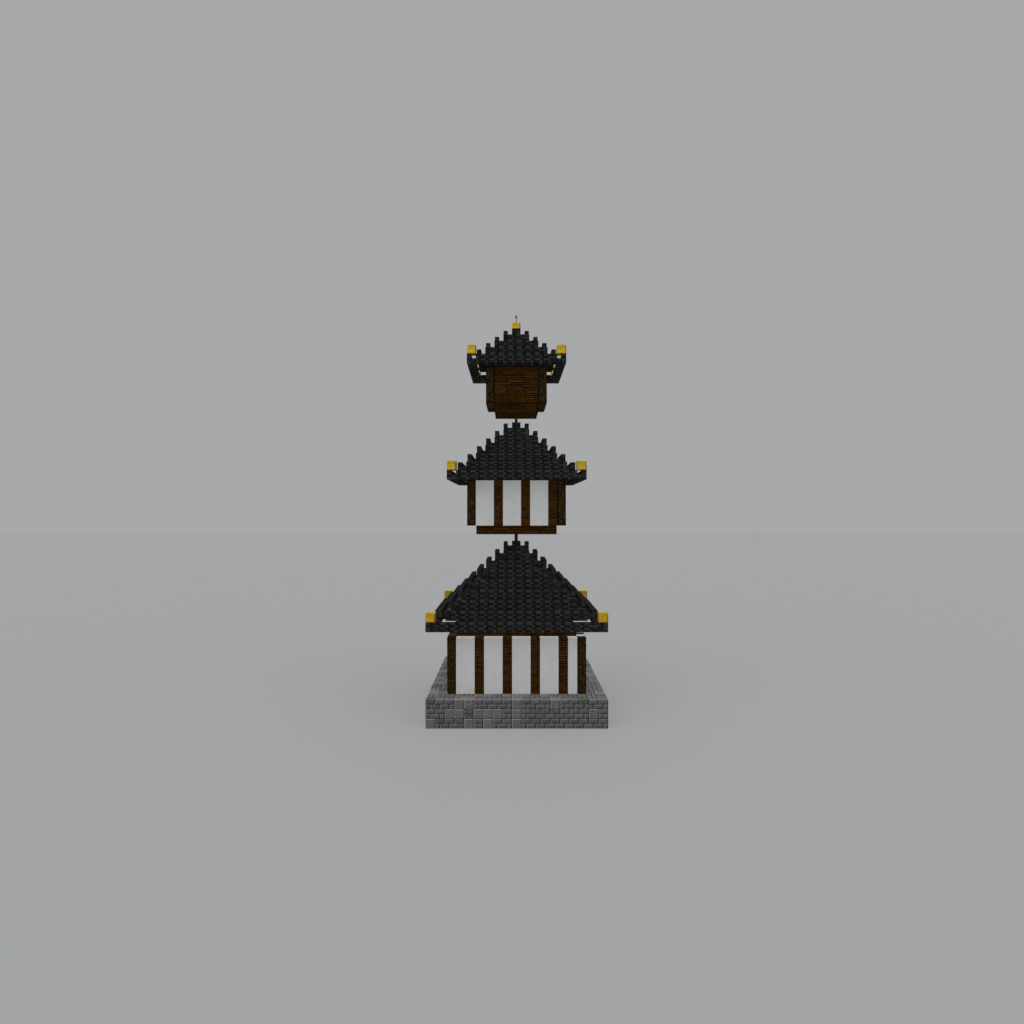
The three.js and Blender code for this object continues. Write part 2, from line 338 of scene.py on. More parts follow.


# %% [markdown]
# Hewn grey stone
# The plinth's coursed stones are a grey granite with a breath of purple, hewn with a point, so the face
# is pitted and each stone differs a little. The upper and left arrises carry a painted highlight, the
# lower ones a painted shade, and the joints are dark. Some stones carry moss, which holds on in the upper
# half where rain is caught. The pits could be modelled, but noise and a bump give them for far less. One
# function makes both stones, because the mossy ones are the same granite.

# %% Hewn grey stone
PIT_SIZE = 0.030
PIT_CONTRAST = (0.32, 0.68)
STONE_TONES = (0.77, 1.10)
# Where the lower right half of a face turns to the upper left one.
TO_UPPER_LEFT = (-0.1, 0.1)
# How far from a stone's arris the painted rim of highlight and shade starts, how near it is at its full, and
# what it covers.
PAINTED_LIGHT_RIM = (0.060, 0.030)
PAINTED_LIGHT_RIM_COVER = 0.9


def hewn_stone(name, has_moss):
    material, tree, shader = new_material(name)
    places = block_places(tree)
    pits = add(tree, "ShaderNodeTexNoise", {"Vector": places.grain, "Scale": 1 / PIT_SIZE, "Detail": 5.0})
    depth, stone = laid_over(tree, pits, PIT_CONTRAST, "#403f40", "#6c696b")
    # The rim is a painted highlight on the upper left and a painted shade on the lower right.
    _, lit_and_shaded_rim = laid_over(tree, places.lean, TO_UPPER_LEFT, "#29282a", "#757274")
    face = toned(tree, places, stone, STONE_TONES)
    _, colour = laid_over(tree, places.edge, PAINTED_LIGHT_RIM, face, lit_and_shaded_rim, PAINTED_LIGHT_RIM_COVER)
    if has_moss:
        colour, depth = mossy(tree, places, colour, depth)
    bump = add(tree, "ShaderNodeBump", {"Height": depth, "Distance": 0.006, "Strength": 0.8})
    fill(tree, shader, {"Base Color": colour, "Roughness": 0.92, "Specular IOR Level": 0.2, "Normal": bump})
    return material


# %% Moss
MOSS_PATCH = 0.080
TUFT_SIZE = 0.015
# How much likelier moss is towards the top of a stone, and how likely before it holds and covers all.
MOSS_RISE = 0.07
MOSS_EDGE = (0.54, 0.57)


def mossy(tree, places, colour, depth):
    """Lays moss over a stone's colour and relief."""
    patch = add(tree, "ShaderNodeTexNoise", {"Vector": places.grain, "Scale": 1 / MOSS_PATCH, "Detail": 5.0})
    held = add(tree, "ShaderNodeMath", {0: places.height, 1: MOSS_RISE, 2: patch}, operation="MULTIPLY_ADD")
    tuft = add(tree, "ShaderNodeTexNoise", {"Vector": places.grain, "Scale": 1 / TUFT_SIZE, "Detail": 3.0})
    green = add(tree, "ShaderNodeMix", {"Factor": tuft, "A": "#2d3b1b", "B": "#52632f"}, data_type="RGBA")
    cover, grown = laid_over(tree, held, MOSS_EDGE, colour, green)
    return grown, add(tree, "ShaderNodeMath", {0: cover, 1: depth}, operation="ADD")


# %% The clean and the mossy granite
granite = hewn_stone("hewn_grey_granite", has_moss=False)
mossy_granite = hewn_stone("hewn_grey_granite_with_moss", has_moss=True)
for material in (granite, mossy_granite):
    print(material.name, len(material.node_tree.nodes), "nodes")

# %% [markdown]
# Dressed slabs
# Between the coursed stones stand whole dressed slabs of a slightly bluer andesite, rubbed smooth. They
# show small pale crystals, and a drafted margin with a painted highlight in greyish tan on the upper and
# left sides and a painted shade on the lower and right ones. Noise would run the crystals together, so
# each is the middle of a cell. Real ones are a few millimetres wide and are drawn at about 25 mm so that
# they show.

# %% Dressed slabs
CLOUD_SIZE = 0.060
CLOUD_CONTRAST = (0.38, 0.62)
CRYSTAL_SPACING = 0.075
# How far out a crystal reaches, and where it has its full colour, as shares of the spacing.
CRYSTAL = (0.22, 0.15)
SLAB_TONES = (0.92, 1.06)
# How far from a slab's arris the drafted margin starts, and how near it is at its full.
MARGIN = (0.034, 0.0238)
andesite, tree, shader = new_material("rubbed_blue_grey_andesite")
places = block_places(tree)
cloud = add(tree, "ShaderNodeTexNoise", {"Vector": places.grain, "Scale": 1 / CLOUD_SIZE, "Detail": 4.0})
_, body = laid_over(tree, cloud, CLOUD_CONTRAST, "#4c4d4e", "#696b6c")
cells = add(tree, "ShaderNodeTexVoronoi", {"Vector": places.grain, "Scale": 1 / CRYSTAL_SPACING})
_, specked = laid_over(tree, cells, CRYSTAL, body, "#7d8086")
# The margin is a painted highlight on the upper left and a painted shade on the lower right.
_, lit_and_shaded_margin = laid_over(tree, places.lean, TO_UPPER_LEFT, "#323333", "#958f88")
face = toned(tree, places, specked, SLAB_TONES)
_, colour = laid_over(tree, places.edge, MARGIN, face, lit_and_shaded_margin)
bump = add(tree, "ShaderNodeBump", {"Height": cloud, "Distance": 0.003, "Strength": 0.6})
fill(tree, shader, {"Base Color": colour, "Roughness": 0.78, "Specular IOR Level": 0.25, "Normal": bump})
print(andesite.name, len(tree.nodes), "nodes")

# %% [markdown]
# Lime mortar
# The stones are bedded in lime mortar that soot and damp have made nearly as dark as the joints' own
# shadow. It is sandy, so it is rough and has a fine bump. Sand of a millimetre or two is drawn at 8 mm
# so that it shows. The bed is one body and not laid in blocks, so its noise can read the object's own
# coordinates.

# %% Lime mortar
SAND_GRAIN = 0.008
mortar, tree, shader = new_material("sooty_lime_mortar")
spot = add(tree, "ShaderNodeTexCoord").outputs["Object"]
sand = add(tree, "ShaderNodeTexNoise", {"Vector": spot, "Scale": 1 / SAND_GRAIN, "Detail": 2.0})
colour = add(tree, "ShaderNodeMix", {"Factor": sand, "A": "#1c1b1a", "B": "#302e2d"}, data_type="RGBA")
bump = add(tree, "ShaderNodeBump", {"Height": sand, "Distance": 0.002})
fill(tree, shader, {"Base Color": colour, "Roughness": 0.95, "Specular IOR Level": 0.15, "Normal": bump})
print(mortar.name, len(tree.nodes), "nodes")

# %% [markdown]
# Laying the plinth
# Three rows of one module each go round. A module is a whole dressed slab, or two courses of stones:
# one stone above, and below it stones that run from the middle of one module to the middle of the
# next. The front and back own the corners, where the stones go right through. The stones could be placed
# one by one, but they follow a rule, so loops lay them as a mason does, along a drawing of what kind of
# stone goes where. The front follows what is seen there, and the hidden sides repeat its mixture by a
# seeded draw.

# %% The mason's drawing
PLINTH_ROWS = 3
HEWN, DRESSED, MOSSY = "hewn", "dressed", "mossy"

# The modules of the front from the left, by row from the ground: whole slabs, and stones with moss.
FRONT_SLABS = [(0, 4, 6, 9), (2, 3, 5, 6, 7, 9, 17), (3, 4, 9, 13)]
FRONT_MOSS = [(1, 3, 11), (4, 11, 13), (0, 16)]
SHARE_OF_SLABS = 0.3
SHARE_OF_MOSS = 0.14
PLINTH_SEED = 19
draw = np.random.default_rng(PLINTH_SEED)


def drawn_kind():
    chance = draw.uniform()
    if chance < SHARE_OF_SLABS:
        return DRESSED
    return MOSSY if chance < SHARE_OF_SLABS + SHARE_OF_MOSS else HEWN


def front_kind(row, column):
    if column in FRONT_SLABS[row]:
        return DRESSED
    return MOSSY if column in FRONT_MOSS[row] else HEWN


def row_of_kinds(side, row):
    if side == "front":
        return [front_kind(row, column) for column in range(PLINTH_MODULES)]
    return [drawn_kind() for _ in range(PLINTH_MODULES)]


# %% The joints of the plinth
JOINT = 0.018
plinth_half = plinth_high.x
plinth_top = plinth_high.z


def between_joints(low, high, first, last):
    """What the joints leave of a stone's range. The plinth's own faces, first and last, have none."""
    before = JOINT / 2 if low > first + JOINT else 0
    after = JOINT / 2 if high < last - JOINT else 0
    return (low + before, high - after)


def across(low, high):
    return between_joints(low, high, -plinth_half, plinth_half)


def upright(low, high):
    return between_joints(low, high, 0, plinth_top)


# %% Laying the sides
stones = {HEWN: [], DRESSED: [], MOSSY: []}


def lower_stones(kinds, first, last):
    """The ends of the lower course's stones, as (left, right) in modules, between whole slabs."""
    column = first
    while column < last:
        if kinds[column] == DRESSED:
            column += 1
            continue
        start = column
        while column < last and kinds[column] != DRESSED:
            column += 1
        cuts = [start] + [module + 0.5 for module in range(start, column)] + [column]
        yield from zip(cuts, cuts[1:])


def lay_plinth_side(side):
    turn = SIDES[side]
    first, last = (0, PLINTH_MODULES) if side in CORNER_SIDES else (1, PLINTH_MODULES - 1)
    face = -plinth_half
    for row in range(PLINTH_ROWS):
        kinds = row_of_kinds(side, row)
        foot = row * MODULE
        for column in range(first, last):
            left = face + column * MODULE
            at_corner = column in (0, PLINTH_MODULES - 1)
            whole = kinds[column] == DRESSED
            inwards = (face, face + (MODULE if whole or at_corner else HALF))
            height = upright(foot if whole else foot + HALF, foot + MODULE)
            stones[kinds[column]].append(block(across(left, left + MODULE), inwards, height, turn))
        for left, right in lower_stones(kinds, first, last):
            at_corner = left < 1 or right > PLINTH_MODULES - 1
            along = across(face + left * MODULE, face + right * MODULE)
            inwards = (face, face + (MODULE if at_corner else HALF))
            stones[kinds[int(left)]].append(block(along, inwards, upright(foot, foot + HALF), turn))
    return kinds


top_kinds = {side: lay_plinth_side(side) for side in SIDES}
print({kind: len(blocks) for kind, blocks in stones.items()}, "stones in the sides")

# %% [markdown]
# Paving
# The plinth's top repeats the mixture lying down. Behind the edge stones runs a half-module row, then
# one whole ring of modules, and plain flags carry on under the walls and through the room. Flags could
# be drawn on one slab, but laid ones meet the edge stones at real joints.

# %% Laying the edge row and the ring
PAVER_DEPTH = 0.12
paved = (plinth_top - PAVER_DEPTH, plinth_top)


def lay_paver(kind, x, y, turn):
    stones[kind].append(block(across(*x), across(*y), paved, turn, flat=True))


def lay_edge_row(side):
    """The inner half of each edge module, where the stone in the face isn't a whole slab."""
    row = (-plinth_half + HALF, -plinth_half + MODULE)
    for column in range(1, PLINTH_MODULES - 1):
        kind = top_kinds[side][column]
        if kind == DRESSED:
            continue
        left = -plinth_half + column * MODULE
        lay_paver(kind, (left, left + HALF), row, SIDES[side])
        lay_paver(kind, (left + HALF, left + MODULE), row, SIDES[side])


def lay_ring(side):
    """One side of the ring of modules at the wall. Each side leaves its right-hand end to the next."""
    front = -plinth_half + MODULE
    for column in range(1, PLINTH_MODULES - 2):
        kind = drawn_kind()
        left = -plinth_half + column * MODULE
        if kind == DRESSED:
            lay_paver(kind, (left, left + MODULE), (front, front + MODULE), SIDES[side])
            continue
        lay_paver(kind, (left, left + MODULE), (front, front + HALF), SIDES[side])
        lay_paver(kind, (left, left + HALF), (front + HALF, front + MODULE), SIDES[side])
        lay_paver(kind, (left + HALF, left + MODULE), (front + HALF, front + MODULE), SIDES[side])


for side in SIDES:
    lay_edge_row(side)
    lay_ring(side)
print(sum(len(blocks) for blocks in stones.values()), "stones with the paving's ring")

# %% Laying the flags
wall_half = storeys[0].half
flags_across = round(2 * wall_half / MODULE)
for row in range(flags_across):
    for column in range(flags_across):
        x = -wall_half + column * MODULE
        y = -wall_half + row * MODULE
        lay_paver(HEWN, (x, x + MODULE), (y, y + MODULE), 0)
print(flags_across, "by", flags_across, "flags")

# %% The plinth's pieces
STONE_ARRIS = 0.007
STONE_UNEVENNESS = 0.0022
SLAB_UNEVENNESS = 0.0006

# The mortar fills the joints from behind, set back a little from the faces.
POINTING_DEPTH = 0.010
bed_reach = (-plinth_half + POINTING_DEPTH, plinth_half - POINTING_DEPTH)
bed = block(bed_reach, bed_reach, (0, plinth_top - POINTING_DEPTH))
plinth_pieces = [
    ("plinth_mortar_bed", [bed], mortar, 0),
    ("plinth_hewn_stones", stones[HEWN], granite, STONE_UNEVENNESS),
    ("plinth_mossy_stones", stones[MOSSY], mossy_granite, STONE_UNEVENNESS),
    ("plinth_dressed_slabs", stones[DRESSED], andesite, SLAB_UNEVENNESS),
]
for seed, (name, blocks, material, unevenness) in enumerate(plinth_pieces, 1):
    piece = laid(name, blocks, STONE_ARRIS, unevenness, seed)
    hand_over(piece, [material], "masonry", "stone_plinth")
print(triangles_of("bed", "stones", "slabs"))

# %% [markdown]
# Sawn oak, stained dark
# Posts, boards and decks are sawn oak under a dark brown stain. The saw leaves the fibres as fine
# streaks along each board, the stain pools in the joints, and boards differ a little in tone. A wave
# pattern is too regular for that, so noise is stretched along the board. Fibre bands are a few
# millimetres wide on real oak and are drawn at 16 mm so that they show. The oak is dull all through,
# with no sheen at a flat angle. The timbers under the eaves are tarred.

# %% Sawn oak
FIBRE_BAND = 0.016
FIBRE_STRETCH = (0.05, 1.0, 1.0)
FIBRE_CONTRAST = (0.33, 0.67)
OAK_TONES = (0.70, 1.26)
# How far from a board's edge the pooled stain starts, and how near it is at its darkest.
POOLED_STAIN = (0.030, 0.012)


def stained_oak(name, dark, light):
    material, tree, shader = new_material(name)
    places = block_places(tree)
    spot = add(tree, "ShaderNodeVectorMath", {0: places.grain, 1: FIBRE_STRETCH}, operation="MULTIPLY")
    fibre = add(tree, "ShaderNodeTexNoise", {"Vector": spot, "Scale": 1 / FIBRE_BAND, "Detail": 4.0})
    streak, wood = laid_over(tree, fibre, FIBRE_CONTRAST, dark, light)
    board = toned(tree, places, wood, OAK_TONES)
    _, colour = laid_over(tree, places.edge, POOLED_STAIN, board, "#0a0603")
    dull = add(tree, "ShaderNodeMapRange", {"Value": streak, "To Min": 0.95, "To Max": 0.8})
    bump = add(tree, "ShaderNodeBump", {"Height": streak, "Distance": 0.003, "Strength": 0.7})
    fill(tree, shader, {"Base Color": colour, "Roughness": dull, "Specular IOR Level": 0.0, "Normal": bump})
    print(name, len(tree.nodes), "nodes")
    return material


oak = stained_oak("sawn_oak_dark_stain", "#25180a", "#553819")
tarred_oak = stained_oak("tarred_oak", "#141210", "#2b2927")

# %% [markdown]
# Posts and boarded walls
# A post is a pile of sawn timbers as wide as the wall is thick, and every other timber is in two
# lengths, as the joints on the faces show. A boarded wall is laid the same way in long lengths with
# staggered ends. The ledges inside, which the decks lie on, are single beams. All are laid as blocks,
# like the stones, because the gaps between real timbers catch real shadow.

# %% Rows of boards
TIMBER_HEIGHT = QUARTER
BOARD_LENGTH = 2.0 * MODULE
# The shortest and longest share of its length that a row's first board may have.
FIRST_BOARD = (0.3, 1.0)


def even_rows(low, high, width):
    """The range of each row from low to high."""
    count = round((high - low) / width)
    return [(low + row * width, low + (row + 1) * width) for row in range(count)]


def staggered(low, high, chance):
    """The ends of the boards in one row. All but the first and the last have the same length."""
    cuts = [low]
    cut = low + BOARD_LENGTH * chance.uniform(*FIRST_BOARD)
    while cut < high - QUARTER:
        cuts.append(cut)
        cut += BOARD_LENGTH
    cuts.append(high)
    return zip(cuts, cuts[1:])


def rows_of_boards(x, y, z, turn, chance):
    """Rows of boards that fill a stretch of wall."""
    blocks = []
    for height in even_rows(*z, TIMBER_HEIGHT):
        blocks += [block(ends, y, height, turn) for ends in staggered(*x, chance)]
    return blocks


# %% Posts and ledges
POST_SPACING = 3
# Where the joint of a timber in two lengths may be, as shares of its length.
POST_CUTS = (0.3, 0.7)
LEDGE_REACH = 0.5 * MODULE
PLATE_HEIGHT = 0.4 * MODULE
HEAD_COVER = 0.1 * MODULE


def post_columns(storey, side):
    """The modules of a wall that are posts: every third, counted from the left or from the far end."""
    last = round(2 * storey.half / MODULE) - 1
    start = last % POST_SPACING if side in ("right", "back") else 0
    return [column for column in range(1, last) if column % POST_SPACING == start]


def post_timbers(x, y, z, turn, chance):
    blocks = []
    for row, height in enumerate(even_rows(*z, TIMBER_HEIGHT)):
        if row % 2 == 0:
            blocks.append(block(x, y, height, turn))
            continue
        cut = x[0] + MODULE * chance.choice(POST_CUTS)
        blocks.append(block((x[0], cut), y, height, turn))
        blocks.append(block((cut, x[1]), y, height, turn))
    return blocks


def ledges(storey, side):
    """The beams along the inside of a wall, under the ceiling deck and on the floor deck."""
    reach = storey.half - MODULE
    if side not in CORNER_SIDES:
        reach -= LEDGE_REACH
    y = (-storey.half + MODULE, -storey.half + MODULE + LEDGE_REACH)
    foot = storey.top - HEAD_COVER - PLATE_HEIGHT
    beams = [block((-reach, reach), y, (foot, storey.top), SIDES[side])]
    if storey.has_floor:
        beams.append(block((-reach, reach), y, (storey.foot, storey.foot + PLATE_HEIGHT), SIDES[side]))
    return beams


# %% Raising posts and boarded walls
BOARD_ARRIS = 0.006
BOARD_UNEVENNESS = 0.0012
WALL_SEED = 100
# How far apart the seeds of one storey or roof and the next are.
SEEDS_A_LEVEL = 10


def oak_piece(name, timbers, node, seed, unevenness=BOARD_UNEVENNESS):
    hand_over(laid(name, timbers, BOARD_ARRIS, unevenness, seed), [oak], "dark_timber", node)


for number, storey in enumerate(storeys):
    for side, turn in SIDES.items():
        chance = np.random.default_rng(WALL_SEED + SEEDS_A_LEVEL * number + turn)
        label = f"{storey.name}_{side}"
        wall = (-storey.half, -storey.half + MODULE)
        height = (storey.foot, storey.top)
        beams = ledges(storey, side)
        if side in storey.boarded:
            room = storey.half - MODULE
            boards = rows_of_boards((-room, room), wall, height, turn, chance)
            has_frame = side in CORNER_SIDES
            planking = boards if has_frame else boards + beams
            oak_piece(f"{label}_planking", planking, f"{label}_boards", turn)
            if has_frame:
                oak_piece(f"{label}_ledges", beams, f"{label}_frame", turn, unevenness=0)
            continue
        timbers = beams
        for column in post_columns(storey, side):
            left = -storey.half + column * MODULE
            timbers += post_timbers((left, left + MODULE), wall, height, turn, chance)
        oak_piece(f"{label}_posts", timbers, f"{label}_frame", turn)
print(len(triangles_of("posts", "planking")), "walls of posts or boards")

# %% [markdown]
# Decks
# A deck shows four fascia boards on each edge, one above the other, and planks above and below, with a
# hole in them for the heart pillar. Nobody sees its joists, so only these outer boards are laid, round
# a hollow.

# %% Planking the decks
PLANK_THICKNESS = 0.06
PLANK_WIDTH = QUARTER
DECK_SEED = 200


def pillar_half_at(height):
    """Half the pillar's width at a height, read from the solid's own points."""
    points = [point.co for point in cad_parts["heart_pillar"].data.vertices]
    above = [point for point in points if point.z > height]
    return max(point.x for point in above)


def planks(half, z, hole, chance):
    """A floor of planks, in two stretches where they meet the pillar."""
    width = 2 * half / round(2 * half / PLANK_WIDTH)
    blocks = []
    for y in even_rows(-half, half, width):
        meets_pillar = y[0] < hole and y[1] > -hole
        stretches = [(-half, -hole), (hole, half)] if meets_pillar else [(-half, half)]
        for stretch in stretches:
            blocks += [block(ends, y, z, flat=True) for ends in staggered(*stretch, chance)]
    return blocks


def deck(node, seed):
    low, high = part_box(node)
    half, foot, top = on_grid(high.x), on_grid(low.z), on_grid(high.z)
    chance = np.random.default_rng(seed)
    inside = half - PLANK_THICKNESS
    blocks = []
    for turn in SIDES.values():
        blocks += rows_of_boards((-half, inside), (-half, -inside), (foot, top), turn, chance)
    hole = pillar_half_at(foot)
    blocks += planks(inside, (foot, foot + PLANK_THICKNESS), hole, chance)
    blocks += planks(inside, (top - PLANK_THICKNESS, top), hole, chance)
    oak_piece(f"{node}_planks", blocks, node, seed)


deck_nodes = sorted(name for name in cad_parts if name.endswith(("_ceiling", "_floor")))
for number, node in enumerate(deck_nodes):
    deck(node, DECK_SEED + number)
print(len(deck_nodes), "decks:", triangles_of("planks"))

# %% [markdown]
# Bark
# The corner logs are squared only roughly and keep their bark: deep grey-brown furrows that run
# upwards between paler, slightly olive ridges. A wave pattern would line them up like flutes, so noise
# that is stretched upwards gives both. A larger noise makes lighter and darker patches, and a painted
# shade darkens the bark towards the log's edges. Like the oak, it is dull all through.

# %% Bark
RIDGE_WIDTH = 0.045
RIDGE_CONTRAST = (0.38, 0.66)
BARK_STRETCH = (1.0, 1.0, 0.30)
BARK_PATCH = 0.135
# How near a log's edges the painted shade begins to darken the bark.
SHADED_EDGE = 0.085
bark, tree, shader = new_material("weathered_oak_bark")
places = block_places(tree)
spot = add(tree, "ShaderNodeTexCoord").outputs["Object"]
upwards = add(tree, "ShaderNodeVectorMath", {0: spot, 1: BARK_STRETCH}, operation="MULTIPLY")
furrow = add(tree, "ShaderNodeTexNoise", {"Vector": upwards, "Scale": 1 / RIDGE_WIDTH, "Detail": 6.0})
ridge, ridged = laid_over(tree, furrow, RIDGE_CONTRAST, "#1a1307", "#463720")
patch = add(tree, "ShaderNodeTexNoise", {"Vector": spot, "Scale": 1 / BARK_PATCH, "Detail": 3.0})
patch_range = {"Value": patch, "From Min": 0.35, "From Max": 0.65, "To Min": 0.52, "To Max": 1.12}
patches = add(tree, "ShaderNodeMapRange", patch_range)
# A painted shade darkens the bark towards the log's edges.
edge_shade_range = {"Value": places.edge, "From Min": SHADED_EDGE / 3, "From Max": SHADED_EDGE, "To Min": 0.45}
painted_edge_shade = add(tree, "ShaderNodeMapRange", edge_shade_range)
patches_and_painted_shade = add(tree, "ShaderNodeMath", {0: patches, 1: painted_edge_shade}, operation="MULTIPLY")
colour = add(tree, "ShaderNodeVectorMath", {0: ridged, "Scale": patches_and_painted_shade}, operation="SCALE")
bump = add(tree, "ShaderNodeBump", {"Height": ridge, "Distance": 0.012, "Strength": 0.9})
fill(tree, shader, {"Base Color": colour, "Roughness": 0.95, "Specular IOR Level": 0.0, "Normal": bump})
print(bark.name, len(tree.nodes), "nodes")

# %% [markdown]
# End grain
# The logs' sawn ends show growth rings round the heart. The wave node draws rings about an axis, and the
# place on the block, with its height taken out, puts that axis in the middle of the log. Rings of a few
# millimetres are drawn at 22 mm so that they show.

# %% End grain
RING_SPACING = 0.022
end_grain, tree, shader = new_material("sawn_oak_end_grain")
local = add(tree, "ShaderNodeAttribute", attribute_name="local").outputs["Vector"]
level = add(tree, "ShaderNodeVectorMath", {0: local, 1: (1.0, 1.0, 0.0)}, operation="MULTIPLY")
wave = {"Vector": level, "Scale": 1 / (2 * math.pi * RING_SPACING), "Distortion": 1.5, "Detail": 2.0}
rings = add(tree, "ShaderNodeTexWave", wave, wave_type="RINGS", rings_direction="Z").outputs["Fac"]
colour = add(tree, "ShaderNodeMix", {"Factor": rings, "A": "#27160a", "B": "#472a12"}, data_type="RGBA")
fill(tree, shader, {"Base Color": colour, "Roughness": 0.9, "Specular IOR Level": 0.0})
print(end_grain.name, len(tree.nodes), "nodes")

# %% [markdown]
# Corner logs
# One log is modelled and copied. A bump alone would leave its outline straight, so the furrows are
# modelled. It starts as a cube that is squashed in height, so that an even noise becomes long furrows
# once it is stretched to its length. Its corners are rounded, its faces are subdivided and pushed in by
# the noise, and then both ends are sawn off flat.

# %% Selecting pieces and edges


def select_only(*pieces):
    """Selects these pieces and nothing else. The first one becomes the active one."""
    bpy.ops.object.select_all(action="DESELECT")
    for piece in pieces:
        piece.select_set(True)
    bpy.context.view_layer.objects.active = pieces[0]


def select_edges(piece, wanted):
    """Selects, in edit mode, the edges whose two ends pass the test, and nothing else."""
    form = bmesh.from_edit_mesh(piece.data)
    for part in (form.verts, form.faces):
        for element in part:
            element.select = False
    for edge in form.edges:
        edge.select = wanted(*(point.co for point in edge.verts))
    bmesh.update_edit_mesh(piece.data)


def runs_up(start, end):
    return abs(start.z - end.z) > abs(start.x - end.x) + abs(start.y - end.y)


# %% Shaping the log
LOG_SQUASH = 6
LOG_CORNER = 0.075
# What is sawn off at each end of the longest log.
LOG_WASTE = 0.10
CORNER_STEPS = 3
FACE_CUTS = 13
HEIGHT_STEP = 0.05
log_length = storeys[0].top - storeys[0].foot + 2 * LOG_WASTE
bpy.ops.object.select_all(action="DESELECT")
bpy.ops.mesh.primitive_cube_add(size=1, scale=(MODULE, MODULE, log_length / LOG_SQUASH))
log = bpy.context.object
bpy.ops.object.transform_apply(location=True, rotation=True, scale=True)
bpy.ops.object.mode_set(mode="EDIT")
bpy.ops.mesh.select_mode(type="EDGE")
select_edges(log, runs_up)
bpy.ops.mesh.bevel(offset=LOG_CORNER, segments=CORNER_STEPS)
select_edges(log, runs_up)
bpy.ops.mesh.subdivide(number_cuts=round(log_length / HEIGHT_STEP))
select_edges(log, lambda start, end: not runs_up(start, end) and (start - end).length > HALF)
bpy.ops.mesh.subdivide(number_cuts=FACE_CUTS)
bpy.ops.object.mode_set(mode="OBJECT")
print("log:", len(log.data.polygons), "faces")

# %% Furrowing the log
# The size of each furrow's noise and how deep it goes, the broad ones first.
FURROWS = ((0.075, 0.0238), (0.030, 0.0102))


def cloud_texture(name, size, octaves):
    texture = bpy.data.textures.new(name, "CLOUDS")
    texture.noise_scale = size
    texture.noise_depth = octaves
    return texture


def push_in(piece, texture, depth):
    """Pushes a surface in by a texture, by this depth at most, so that it never grows."""
    push = piece.modifiers.new("relief", "DISPLACE")
    push.texture = texture
    push.texture_coords = "LOCAL"
    push.mid_level = 1.0
    push.strength = depth
    bpy.ops.object.modifier_apply(modifier=push.name)


for size, depth in FURROWS:
    push_in(log, cloud_texture("bark_furrows", size, 2), depth)
log.data.transform(Matrix.Diagonal((1, 1, LOG_SQUASH, 1)))
print("log after furrowing:", [round(side, 3) for side in log.dimensions])

# %% Sawing the logs
# A log's end face points up or down at least this much, and its middle lies this near the cut.
FLAT = 0.99
ON_THE_CUT = 0.001
MIDDLE_TONE = 0.5


def quarter_turns(turns):
    """The rotation by whole quarter turns about the vertical axis."""
    return Matrix.Rotation(turns * math.pi / 2, 4, "Z")


def sawn(source, name, length, turn, place):
    """A copy of the log, sawn to its length and stood at its place."""
    piece = new_object(name, source.data.copy())
    select_only(piece)
    bpy.ops.object.mode_set(mode="EDIT")
    for end, up in ((-length / 2, 1), (length / 2, -1)):
        bpy.ops.mesh.select_all(action="SELECT")
        bpy.ops.mesh.bisect(plane_co=(0, 0, end), plane_no=(0, 0, up), use_fill=True, clear_inner=True)
    bpy.ops.object.mode_set(mode="OBJECT")
    mesh = piece.data
    for face in mesh.polygons:
        is_end = abs(face.normal.z) > FLAT and abs(abs(face.center.z) - length / 2) < ON_THE_CUT
        face.material_index = 1 if is_end else 0
        face.use_smooth = not is_end
    local = np.array([point.co for point in mesh.vertices])
    half = np.tile((MODULE / 2, MODULE / 2, length / 2), (len(local), 1))
    tell_place(mesh, local, half, np.full(len(local), MIDDLE_TONE))
    mesh.transform(Matrix.Translation(place) @ quarter_turns(turn))
    return piece


def joined(pieces, name):
    select_only(*pieces)
    bpy.ops.object.join()
    pieces[0].name = name
    return pieces[0]


# %% Standing the logs
for number, storey in enumerate(storeys):
    length = storey.top - storey.foot
    reach = storey.half - HALF
    for side, out in (("front", -1), ("back", 1)):
        logs = []
        for corner, sideways in enumerate((-1, 1)):
            place = (sideways * reach, out * reach, storey.foot + length / 2)
            # No two logs of a storey turn the same face to the front.
            turn = number + corner + out + 1
            logs.append(sawn(log, f"log_{number}_{side}_{corner}", length, turn, place))
        pair = joined(logs, f"{storey.name}_{side}_corner_logs")
        hand_over(pair, [bark, end_grain], "log_timber", f"{storey.name}_{side}_frame")
bpy.data.objects.remove(log)
print(triangles_of("logs"))

# %% [markdown]
# Lime plaster
# The panels are lime plaster on laths, floated by hand: a matt off-white with faint clouds where it
# dried unevenly, low waves that the float left, and a sandy grain, drawn as coarse as the mortar's. Each
# could have a bump of its own, but both are relief of one surface, so they are added up for one bump.

# %% Lime plaster
TROWEL_WAVE = 0.18
DRYING_CLOUD = 0.54
DRYING_CONTRAST = (0.3, 0.7)
# How much of the relief is sand, beside the waves.
SAND_RELIEF = 0.12
lime, tree, shader = new_material("floated_lime_plaster")
spot = add(tree, "ShaderNodeTexCoord").outputs["Object"]
cloud = add(tree, "ShaderNodeTexNoise", {"Vector": spot, "Scale": 1 / DRYING_CLOUD, "Detail": 4.0})
_, colour = laid_over(tree, cloud, DRYING_CONTRAST, "#bebebd", "#c6c6c5")
wave = add(tree, "ShaderNodeTexNoise", {"Vector": spot, "Scale": 1 / TROWEL_WAVE, "Detail": 2.0})
sand = add(tree, "ShaderNodeTexNoise", {"Vector": spot, "Scale": 1 / SAND_GRAIN, "Detail": 2.0})
relief = add(tree, "ShaderNodeMath", {0: sand, 1: SAND_RELIEF, 2: wave}, operation="MULTIPLY_ADD")
bump = add(tree, "ShaderNodeBump", {"Height": relief, "Distance": 0.005, "Strength": 0.5})
